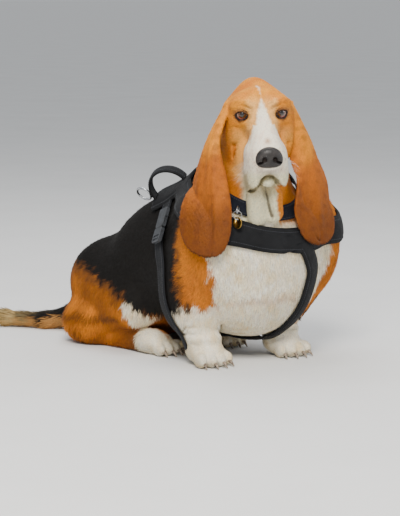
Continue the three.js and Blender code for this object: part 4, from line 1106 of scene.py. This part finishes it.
eye_finish = Finish("wet_eye", Roughness=0.12, Coat_Weight=1.0, Coat_Roughness=0.03, Coat_IOR=1.38)
eye_tone = eye_finish.node("ShaderNodeAttribute", attribute_name="eye_tone").outputs["Color"]
eye_finish.paint(eye_finish.tinted(eye_tone, eye_finish.spread(eye_finish.noise(900, 4.0), 0.75, 1.2)))
eye_finish.bump(eye_finish.noise(500, 2.0), 0.04, 0.0003)
for s in SIDES:
    dots, away = globe_points()
    bulge = EYE_RADIUS - 0.25 + 0.9 * ramp(36, 10, away)
    look = unit(np.array([s * math.sin(math.radians(12)), -math.cos(math.radians(12)), 0.1]))
    turn = np.array(Vector((0, 0, 1)).rotation_difference(Vector(look)).to_matrix())
    local = (dots * bulge[:, None]) @ turn.T + EYE_AT * [s, 1, 1]
    tone = np.tile(linear("8f6a58"), (len(dots), 1))
    haw = ramp(EYE_AT[2] - 4.2, EYE_AT[2] - 5.4, local[:, 2]) * ramp(20, 26, away)
    tone = blend(tone, linear("c2675a"), haw)
    tone = blend(tone, linear("120a06"), ramp(41, 36, away))
    tone = blend(tone, linear("5e3410"), ramp(37, 33, away))
    tone = blend(tone, linear("2e180a"), ramp(26, 19, away))
    tone = blend(tone, linear("030202"), ramp(18.5, 16.0, away))
    mesh = mesh_from("eye_" + SIDE_NAME[s], from_head(local), wrapped_faces(EYE_RINGS, EYE_SPOKES))
    colour_layer(mesh, "eye_tone", tone)
    piece("globe_" + SIDE_NAME[s], mesh, eye_finish.material, ["eye_" + SIDE_NAME[s]])
print("eyes made")

# %% [markdown]
# The nose leather is a small field of its own: a rounded pad, two wings and the nostrils cut in.
# Its surface is pebbled, dark and a little wet.

# %% Nose leather
nose = []
NOSE_AT = (0, -119, -62)
ball(nose, NOSE_AT, (24, 13, 20), blend=0, head=True)
for s in SIDES:
    ball(nose, (s * 13, -121, -67), (11, 10, 11), blend=5, head=True)
for s in SIDES:
    ball(nose, (s * 9.5, -133, -63), (4.6, 8, 4.8), blend=2, head=True, cut=True)
    ball(nose, (s * 17, -128, -69), (6.5, 6, 2.4), blend=2, head=True, cut=True, roll=s * 20)
limb(nose, (0, -134, -54), (0, -132, -82), 0.9, 0.9, blend=2, head=True, cut=True)
marks = [np.arange(middle - 34, middle + 34, 1.1) for middle in from_head(NOSE_AT)]
nose_points, nose_faces = largest_part(*surface_net(read_grid(nose, *marks), *marks))
nose_points = settle(nose_points, nose, 0.0, rounds=2, most=1.0)
nose_finish = Finish("nose_leather", Specular_IOR_Level=0.4, Coat_Weight=0.15, Coat_Roughness=0.3)
pebble = nose_finish.node("ShaderNodeTexVoronoi", {"Scale": 620.0}, feature="DISTANCE_TO_EDGE")
nose_finish.wire(nose_finish.place(), pebble.inputs["Vector"])
nose_finish.mottle(120, linear("0f0c0b"), linear("2a2421"), 4.0)
nose_finish.dull(nose_finish.spread(nose_finish.noise(200), 0.28, 0.5))
nose_finish.bump(nose_finish.spread(pebble.outputs["Distance"], 0.0, 1.0, 0.0, 0.12), 0.45, 0.0005)
nose_mesh = mesh_from("nose_pad", nose_points, nose_faces)
piece("nose_pad", nose_mesh, nose_finish.material, ["nose"])
print("nose faces", len(nose_faces))

# %% [markdown]
# Claws are short curved cones, thick at the toe and blunt at the tip. Whiskers are thin tapered
# rods. Both come from one helper that sweeps a ring along a path.

# %% Claws and whiskers
def swept(path, radii, around=10):
    path = np.asarray(path, float)
    way = unit(np.gradient(path, axis=0))
    hint = np.array([0.13, 0.21, 0.97]) if abs(way[0][2]) < 0.8 else np.array([0.97, 0.13, 0.21])
    across = unit(np.cross(way, hint))
    up = np.cross(across, way)
    turn = np.linspace(0, 2 * math.pi, around, endpoint=False)
    ring = np.cos(turn)[None, :, None] * across[:, None] + np.sin(turn)[None, :, None] * up[:, None]
    points = (path[:, None] + ring * np.asarray(radii, float)[:, None, None]).reshape(-1, 3)
    n = len(points)
    points = np.vstack([points, path[0], path[-1]])
    triangles = []
    for k in range(around):
        m = (k + 1) % around
        triangles.append((n, m, k))
        triangles.append((n + 1, n - around + k, n - around + m))
    quads = wrapped_faces(len(path), around)
    return points, np.vstack([quads[:, [0, 1, 2]], quads[:, [0, 2, 3]], np.array(triangles)])


def joined_mesh(name, parts):
    points, faces, start = [], [], 0
    for part_points, part_faces in parts:
        points.append(part_points)
        faces.append(np.asarray(part_faces) + start)
        start += len(part_points)
    return mesh_from(name, np.vstack(points), np.vstack(faces))


def claw(tip, heading):
    ahead = np.array([math.sin(math.radians(heading)), -math.cos(math.radians(heading)), 0.0])
    t = np.linspace(0, 1, 9)
    path = np.array(tip) + ahead * (15 * t - 7)[:, None] + np.array([0, 0, 1.0]) * (2.5 - 9.5 * t**2)[:, None]
    path[:, 2] = np.maximum(path[:, 2], 1.6)
    return swept(path, 3.6 * (1 - 0.75 * t**1.6), 12)


claws = []
for s in SIDES:
    for toe in TOES:
        place = (s * (PAW_X + 3) + toe * (TOE_PITCH + 1.5), PAW_Y - 60 + abs(toe) * 8, 9)
        claws.append(claw(place, toe * 8))
        leg = HIND[s]
        ahead, _, turn = foot_axes(leg)
        spot = hind_toe(leg, toe * 1.06) + ahead * 20
        claws.append(claw((spot[0], spot[1], 9), turn + toe * 7))
horn = Finish("claw_horn", Roughness=0.42, Specular_IOR_Level=0.45)
horn.mottle(240, linear("4d3d31"), linear("b3a08a"), 4.0, 0.35)
horn.bump(horn.noise(700, 2.0), 0.15, 0.0004)
piece("claws", joined_mesh("claws", claws), horn.material)

whiskers = []
for s in SIDES:
    for row in range(3):
        for n in range(3):
            start = settle(from_head([(s * 34, -74 - 7 * n, -78 - 8 * row)]), skin, -1.4)[0]
            out = HEAD_TURN @ unit([s * 1.0, 0.15 - 0.2 * n, -0.35 - 0.12 * row])
            t = np.linspace(0, 1, 9)[:, None]
            size = 20 + 6 * draw.random()
            path = start + out * size * t + np.array([0, 0, -7.0]) * t**2
            whiskers.append(swept(path, 0.2 * (1 - 0.85 * t[:, 0]), 6))
hair = Finish("whisker", Roughness=0.4)
hair.mottle(80, linear("cfc6ba"), linear("f2ede4"))
piece("whiskers", joined_mesh("whiskers", whiskers), hair.material)
print("claws", len(claws), "whiskers", len(whiskers))

# %% [markdown]
# The harness is padded webbing. Each band is a closed section swept over the coat: every section
# point is found on the field of the body, so the band hugs chest and shoulder as a worn strap does.

# %% Sections of the bands
STRAP_LIFT = 3.2


def meet_from(forms, base, way, reach, level):
    t = np.full(len(base), float(reach))
    for _ in range(90):
        t -= 0.6 * (field_at(base + way * t[:, None], forms) - level)
    return base + way * t[:, None]


def pad_section(width, thickness, rows=15):
    s = np.linspace(-1, 1, rows)
    crown = 0.62 + 0.38 * np.sqrt(np.clip(1 - s**2, 0, 1))
    channel = np.exp(-(((np.abs(s) - 0.74) / 0.07) ** 2))
    height = thickness * (crown - 0.26 * channel)
    height[[0, -1]] = thickness * 0.36
    return s * width / 2, height


def web_section(width, thickness, rows=9):
    s = np.linspace(-1, 1, rows)
    height = np.full(rows, float(thickness))
    height[[0, -1]] = thickness * 0.55
    return s * width / 2, height


def band_mesh(name, inner, heights, normals, closed):
    n, rows = inner.shape[:2]
    top = inner + normals * heights[None, :, None]
    loop = np.concatenate([top, inner[:, ::-1]], axis=1)
    count = loop.shape[1]
    points = loop.reshape(-1, 3)
    number = np.arange(n * count).reshape(n, count)
    ahead = np.roll(number, -1, axis=0) if closed else number[1:]
    here = number if closed else number[:-1]
    quads = np.stack([here, np.roll(here, -1, 1), np.roll(ahead, -1, 1), ahead], -1).reshape(-1, 4)
    if not closed:
        for row, flip in ((number[0], False), (number[-1], True)):
            cap = np.stack([row[:rows - 1], row[::-1][:rows - 1], row[::-1][1:rows], row[1:rows]], -1)
            quads = np.vstack([quads, cap[:, ::-1] if flip else cap])
    mesh = mesh_from(name, points, quads)
    along = np.concatenate([[0], np.cumsum(np.linalg.norm(np.diff(inner[:, rows // 2], axis=0), axis=1))])
    across = np.concatenate([np.arange(rows), np.arange(rows)[::-1]]) * 1.0
    span = np.linalg.norm(inner[0, -1] - inner[0, 0]) / (rows - 1)
    weave = np.zeros((n * count, 3), np.float32)
    weave[:, 0] = np.repeat(along, count) / 1000
    weave[:, 1] = np.tile(across * span, n) / 1000
    layer = mesh.attributes.new("weave_place", "FLOAT_VECTOR", "POINT")
    layer.data.foreach_set("vector", weave.ravel())
    face_way(mesh)
    return mesh


def face_way(mesh):
    made = bmesh.new()
    made.from_mesh(mesh)
    bmesh.ops.recalc_face_normals(made, faces=made.faces)
    made.to_mesh(mesh)
    made.free()


def loop_inner(forms, centre, normal, offsets, reach, count):
    n = unit(normal)
    first = unit(np.cross(n, [0, 1, 0.3]))
    second = np.cross(n, first)
    turn = np.linspace(0, 2 * math.pi, count, endpoint=False)
    way = np.cos(turn)[:, None] * first + np.sin(turn)[:, None] * second
    base = np.asarray(centre, float) + n * offsets[None, :, None]
    base = np.broadcast_to(base, (count, len(offsets), 3)).reshape(-1, 3)
    ways = np.repeat(way, len(offsets), axis=0)
    return meet_from(forms, base, ways, reach, STRAP_LIFT).reshape(count, len(offsets), 3)


def laid_inner(points, offsets, steps):
    marks = settle(np.array(points, float), no_feet, STRAP_LIFT, rounds=6, most=30)
    fine = along_axis(marks, np.linspace(0, 1, 400))
    run = np.concatenate([[0], np.cumsum(np.linalg.norm(np.diff(fine, axis=0), axis=1))])
    middle = np.stack([np.interp(np.linspace(0, run[-1], steps), run, fine[:, k]) for k in range(3)], -1)
    way = unit(np.gradient(middle, axis=0))
    out = unit(slope_at(middle, no_feet))
    across = unit(np.cross(way, out))
    base = middle[:, None] + across[:, None] * offsets[None, :, None]
    return settle(base.reshape(-1, 3), no_feet, STRAP_LIFT, rounds=5, most=10).reshape(base.shape)


def band_normals(inner, forms):
    return unit(slope_at(inner.reshape(-1, 3), forms)).reshape(inner.shape)


# %% Webbing finish
def woven(name, dark, light, pitch, strength=0.5):
    finish = Finish(name, Specular_IOR_Level=0.18, Sheen_Weight=0.03)
    spot = finish.node("ShaderNodeAttribute", attribute_name="weave_place").outputs["Vector"]
    parts = finish.node("ShaderNodeSeparateXYZ")
    finish.wire(spot, parts.inputs[0])
    along = finish.sum("SINE", finish.sum("MULTIPLY", parts.outputs[0], 6.283 / pitch), 0.0)
    across = finish.sum("SINE", finish.sum("MULTIPLY", parts.outputs[1], 6.283 / pitch), 0.0)
    fluff = finish.spread(finish.noise(1400, 2.0), -0.4, 0.4)
    cloth = finish.sum("ADD", finish.sum("MULTIPLY", along, across), fluff)
    tone = finish.colours(finish.spread(cloth, 0.0, 1.0, -1.2, 1.2), [(0.2, dark), (0.8, light)])
    wear = finish.spread(finish.noise(26, 4.0), 0.75, 1.5)
    finish.paint(finish.tinted(tone, wear))
    finish.dull(finish.spread(finish.noise(90), 0.66, 0.88))
    finish.bump(cloth, strength, 0.0004)
    return finish.material


pad_cloth = woven("padded_mesh_cloth", linear("070708"), linear("1a1b1e"), 0.0022, 0.4)
strap_cloth = woven("black_webbing", linear("08080a"), linear("202226"), 0.0016)
collar_cloth = woven("navy_webbing", linear("07080d"), linear("191d2a"), 0.0016)
binding_cloth = woven("binding_tape", linear("050505"), linear("151618"), 0.001)
print("cloth finishes made")

# %% [markdown]
# Tape binds both edges of the padded bands and a row of stitches runs beside it. A stitch is a tiny
# rod with round ends, half sunk in the cloth.

# %% Binding and stitches
def edge_rope(inner, normals, row, rise, radius, closed, inset=0.0):
    line = inner[:, row] + normals[:, row] * rise
    toward = unit(inner[:, inner.shape[1] // 2] - inner[:, row])
    line = line + toward * inset
    if closed:
        line = np.vstack([line, line[:1]])
    return swept(line, np.full(len(line), radius), 8)


def stitches(inner, normals, row, rise, closed, pitch=4.6, length=3.0, radius=0.42):
    line = inner[:, row] + normals[:, row] * rise
    out = normals[:, row]
    if closed:
        line, out = np.vstack([line, line[:1]]), np.vstack([out, out[:1]])
    run = np.concatenate([[0], np.cumsum(np.linalg.norm(np.diff(line, axis=0), axis=1))])
    parts = []
    for start in np.arange(2.0, run[-1] - length, pitch):
        at = start + length * np.array([0, 0.2, 0.5, 0.8, 1.0])
        path = np.stack([np.interp(at, run, line[:, k]) for k in range(3)], -1)
        lift = np.stack([np.interp(at, run, out[:, k]) for k in range(3)], -1)
        path = path + lift * np.array([-0.35, 0.15, 0.25, 0.15, -0.35])[:, None]
        parts.append(swept(path, radius * np.array([0.5, 0.95, 1.0, 0.95, 0.5]), 5))
    return parts


thread = Finish("thread", Roughness=0.6, Specular_IOR_Level=0.35)
thread.mottle(900, linear("2c2e32"), linear("55585f"), 2.0)
thread.bump(thread.noise(2200, 1.0), 0.3, 0.0002)
bindings, threads = [], []


def dress(inner, normals, heights, closed, bound):
    rows = inner.shape[1]
    edge = heights[0] * 0.55
    if bound:
        for row in (0, rows - 1):
            bindings.append(edge_rope(inner, normals, row, edge, 2.1, closed, 0.8))
    for row in (2, rows - 3) if bound else (1, rows - 2):
        threads.extend(stitches(inner, normals, row, heights[row] + 0.1, closed))


def band(name, node, cloth, forms, inner, heights, closed, bound):
    """A band over its inner face, bound and sewn, in place of a node of the solid model."""
    normals = band_normals(inner, forms)
    dress(inner, normals, heights, closed, bound)
    mesh = band_mesh(name, inner, heights, normals, closed)
    return piece(name, mesh, cloth, [node])


# %% Chest band, girth, breast strap and collar
PAD = 6.2
PAD_SOLID, COLLAR_SOLID, GAP = 6.5, 3.6, 0.3
offsets, heights = pad_section(42, PAD)
inner = loop_inner(bare_neck, (6, -8, 291), (0.06, -0.36, 0.93), offsets, 260, 150)
chest_pad = band("chest_pad", "chest_band", pad_cloth, bare_neck, inner, heights, True, True)

offsets, heights = web_section(26, 3.0)
inner = loop_inner(no_feet, (0, 90, 180), (-0.3, 0.98, -0.34), offsets, 190, 120)
band("girth_webbing", "girth_strap", strap_cloth, no_feet, inner, heights, True, False)

STERNUM = [(52, -134, 236), (72, -128, 208), (88, -116, 176), (84, -106, 140), (77, -92, 104),
           (60, -62, 64), (38, -8, 40), (16, 48, 46)]
offsets, heights = pad_section(31, PAD)
inner = laid_inner(STERNUM, offsets, 90)
breast_pad = band("breast_pad", "sternum_strap", pad_cloth, no_feet, inner, heights, False, True)

offsets, heights = web_section(24, 3.4)
inner = loop_inner(bare_neck, (-6, -52, 330), (-0.02, -0.42, 0.9), offsets, 200, 110)
band("collar_webbing", "collar", collar_cloth, bare_neck, inner, heights, True, False)
print("bands made", clock())

# %% [markdown]
# Over the withers lies a padded plate that carries the handle. The handle is a padded arch with
# clear air under it, wide enough for a hand, sewn down to the plate at both feet.

# %% Back plate and handle
PLATE = [(-44, 52, 335), (-58, 84, 330), (-70, 120, 315), (-80, 156, 295)]
offsets, heights = pad_section(72, PAD, rows=25)
inner = laid_inner(PLATE, offsets, 60)
withers_pad = band("withers_pad", "back_plate", pad_cloth, no_feet, inner, heights, False, True)

HANDLE_RISE, HANDLE_WIDTH = 38, 22
lift = STRAP_LIFT + PAD_SOLID + GAP
feet = settle(np.array([(-52.0, 84, 330), (-84, 142, 300)]), body, lift, rounds=6, most=30)
out = unit(slope_at(feet, body).sum(0))
run = unit(feet[1] - feet[0])
across = unit(np.cross(out, run))
span = np.linalg.norm(feet[1] - feet[0])
turn = np.linspace(math.pi, 0, 60)
middle = feet.mean(0) + 0.5 * span * np.cos(turn)[:, None] * run + HANDLE_RISE * np.sin(turn)[:, None] * out
up = unit(np.cos(turn)[:, None] / span * run + 0.5 * np.sin(turn)[:, None] / HANDLE_RISE * out)
offsets = np.linspace(-1, 1, 11) * HANDLE_WIDTH / 2
inner = middle[:, None] + across * offsets[None, :, None] + up[:, None] * 1.4
normals = np.repeat(up[:, None], 11, axis=1)
heights = 3.0 + 2.2 * np.sqrt(np.clip(1 - np.linspace(-1, 1, 11) ** 2, 0, 1))
dress(inner, normals, heights, False, True)
handle_mesh = band_mesh("carrying_handle", inner, heights, normals, False)
carrying_handle = piece("carrying_handle", handle_mesh, strap_cloth, ["handle"])
piece("edge_binding", joined_mesh("edge_binding", bindings), binding_cloth)
piece("stitching", joined_mesh("stitching", threads), thread.material)
print("plate and handle made, stitches", len(threads))

# %% [markdown]
# Metal and plastic come last. Rings are swept round a circle, the split ring twice round with its
# ends lapped, and the tag is a thin brass disc with a rolled rim and a hole.

# %% Metal and plastic finishes
def metal(name, dark, light, low, high):
    finish = Finish(name, Metallic=1.0)
    finish.mottle(140, dark, light, 4.0)
    finish.dull(finish.spread(finish.noise(420, 3.0), low, high))
    finish.bump(finish.noise(900, 2.0), 0.06, 0.0002)
    return finish.material


steel = metal("polished_steel", linear("9a9ca0"), linear("d5d7da"), 0.16, 0.38)
brass = metal("worn_brass", linear("a87a30"), linear("d8b25c"), 0.2, 0.42)
plastic = Finish("moulded_plastic", Specular_IOR_Level=0.45)
plastic.mottle(60, linear("1f2124"), linear("3a3d42"), 4.0)
plastic.dull(plastic.spread(plastic.noise(500, 3.0), 0.36, 0.55))
plastic.bump(plastic.noise(1600, 2.0), 0.2, 0.0002)
plastic = plastic.material


def ring_path(radius, turns=1.0, pitch=0.0, count=96):
    t = np.linspace(0, 2 * math.pi * turns, count)
    return np.stack([radius * np.cos(t), radius * np.sin(t), pitch * (t / (2 * math.pi) - turns / 2)], -1)


# %% Rings and tag
def set_frame(point, hint, level):
    at = settle(np.array([point], float), body, level, rounds=6, most=30)[0]
    out = unit(slope_at(at[None], body)[0])
    across = unit(np.cross(out, hint))
    return at, np.stack([np.cross(across, out), across, out], 1)


at, axes = set_frame((-88, 160, 290), (0, 1, -0.4), STRAP_LIFT + PAD_SOLID + 2 * GAP)
loop = ring_path(15)
points, faces = swept(np.stack([loop[:, 0], loop[:, 2], loop[:, 1] + 17.4], -1), np.full(96, 2.3), 16)
piece("lead_ring", mesh_from("lead_ring", at + points @ axes.T, faces), steel, ["harness_ring"])

TAG_AWAY, SPLIT_RADIUS, TAG_RADIUS = 19, 8, 11
tag_lift = STRAP_LIFT + COLLAR_SOLID + GAP
tag_at = settle(np.array([(-67.0, -100, 300)]), bare_neck, tag_lift, rounds=6, most=30)[0]
tag_out = slope_at(tag_at[None], bare_neck)[0]
tag_out = unit([tag_out[0], tag_out[1], 0])
tag_across = np.cross([0, 0, 1.0], tag_out)


def hung(points, drop, away, face_out):
    side = tag_across if face_out else -tag_out
    axes = np.stack([side, [0, 0, 1.0], np.cross(side, [0, 0, 1.0])], 1)
    return tag_at + tag_out * away + np.array([0, 0, -float(drop)]) + np.asarray(points) @ axes.T


points, faces = swept(ring_path(7.5) * [1.6, 1, 1], np.full(96, 1.25), 14)
piece("d_loop", mesh_from("d_loop", hung(points, 0, 12, False), faces), steel, ["collar_loop"])
points, faces = swept(ring_path(SPLIT_RADIUS, 1.94, 1.3, 160), np.full(160, 0.62), 12)
key_mesh = mesh_from("key_ring", hung(points, SPLIT_RADIUS, TAG_AWAY, True), faces)
piece("key_ring", key_mesh, steel, ["split_ring"])


def disc_with_hole(outer, hole, hole_at, thick, around=72):
    t = np.linspace(0, 2 * math.pi, around, endpoint=False)
    way = np.stack([np.cos(t), np.sin(t), 0 * t], -1)
    rims = [(outer - 1.1, thick * 0.34), (outer - 0.8, thick * 0.5)]
    rims += [(outer - 0.25, thick * 0.5), (outer, thick * 0.25)]
    rings = [way * hole + [0, hole_at, thick * 0.34]]
    rings += [way * r + [0, 0, h] for r, h in rims]
    under = [ring * [1, 1, -1] for ring in rings[::-1]]
    points = np.vstack(rings + under)
    number = np.arange(len(points)).reshape(-1, around)
    number = np.vstack([number, number[:1]])
    ahead = np.roll(number, -1, axis=1)
    return points, np.stack([number[:-1], number[1:], ahead[1:], ahead[:-1]], -1).reshape(-1, 4)


points, faces = disc_with_hole(TAG_RADIUS, 3.6, TAG_RADIUS - 5, 1.6)
points = points @ turn_about("y", 55).T
tag_mesh = mesh_from("tag_disc", hung(points, 2 * SPLIT_RADIUS + TAG_RADIUS - 5, TAG_AWAY, False), faces)
face_way(tag_mesh)
piece("tag_disc", tag_mesh, brass, ["name_tag"])
for name in ("buckle_socket", "buckle_plug"):
    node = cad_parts[name]
    node.data.materials.clear()
    node.data.materials.append(plastic)
print("metal made", clock())

# %% [markdown]
# The floor is plain and pale, and large soft lamps stand round it as in a studio. The camera keeps
# the photograph's angle: from the hound's right front, a little above its chest.

# %% Floor, lamps and camera
floor_finish = Finish("studio_floor", Roughness=0.9)
floor_finish.mottle(3, (0.74, 0.74, 0.73), (0.78, 0.78, 0.77))
FLOOR_HALF = 400000
floor_points = np.array([(-1, -1, 0), (1, -1, 0), (1, 1, 0), (-1, 1, 0)], float) * FLOOR_HALF
floor = bpy.data.objects.new("floor", mesh_from("floor", floor_points, [[0, 1, 2, 3]]))
floor.data.materials.append(floor_finish.material)
bpy.context.scene.collection.objects.link(floor)
floor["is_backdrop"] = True

world = bpy.data.worlds.new("studio")
world.use_nodes = True
world.node_tree.nodes["Background"].inputs["Color"].default_value = (0.93, 0.96, 1.0, 1)
world.node_tree.nodes["Background"].inputs["Strength"].default_value = 0.62
bpy.context.scene.world = world


def lamp(name, place, target, size, power, colour=(1, 1, 1)):
    data = bpy.data.lights.new(name, "AREA")
    data.shape = "SQUARE"
    data.size, data.energy, data.color = size, power, colour
    made = bpy.data.objects.new(name, data)
    bpy.context.scene.collection.objects.link(made)
    made.location = place
    way = Vector(target) - Vector(place)
    made.rotation_euler = way.to_track_quat("-Z", "Y").to_euler()


lamp("key", (-1.6, -2.2, 2.6), (0, -0.2, 0.25), 1.3, 150, (1.0, 0.96, 0.9))
lamp("fill", (2.6, -1.8, 1.4), (0, -0.1, 0.25), 2.0, 30, (0.95, 0.97, 1.0))
lamp("top", (0.2, 0.6, 3.0), (0, 0, 0.2), 2.0, 50)

AZIMUTH, ELEVATION = math.radians(-34), math.radians(8)
camera = bpy.data.objects.new("camera", bpy.data.cameras.new("camera"))
bpy.context.scene.collection.objects.link(camera)
camera.location = to_row((-2031.0, -2882.2, 688.9))
level = math.cos(ELEVATION)
back = Vector((math.sin(AZIMUTH) * level, -math.cos(AZIMUTH) * level, math.sin(ELEVATION)))
camera.rotation_mode = "QUATERNION"
camera.rotation_quaternion = (-back).to_track_quat("-Z", "Y")
SENSOR, FOCAL_PIXELS, PHOTO_HEIGHT = 36, 1855, 516
camera.data.sensor_width = SENSOR
camera.data.lens = SENSOR * FOCAL_PIXELS / PHOTO_HEIGHT
camera.data.clip_start, camera.data.clip_end = 0.1, 2000
bpy.context.scene.camera = camera

# %% Sizes and the end
low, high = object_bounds()
print("visual model", [round(v, 3) for v in low], [round(v, 3) for v in high])
print("all made", clock())
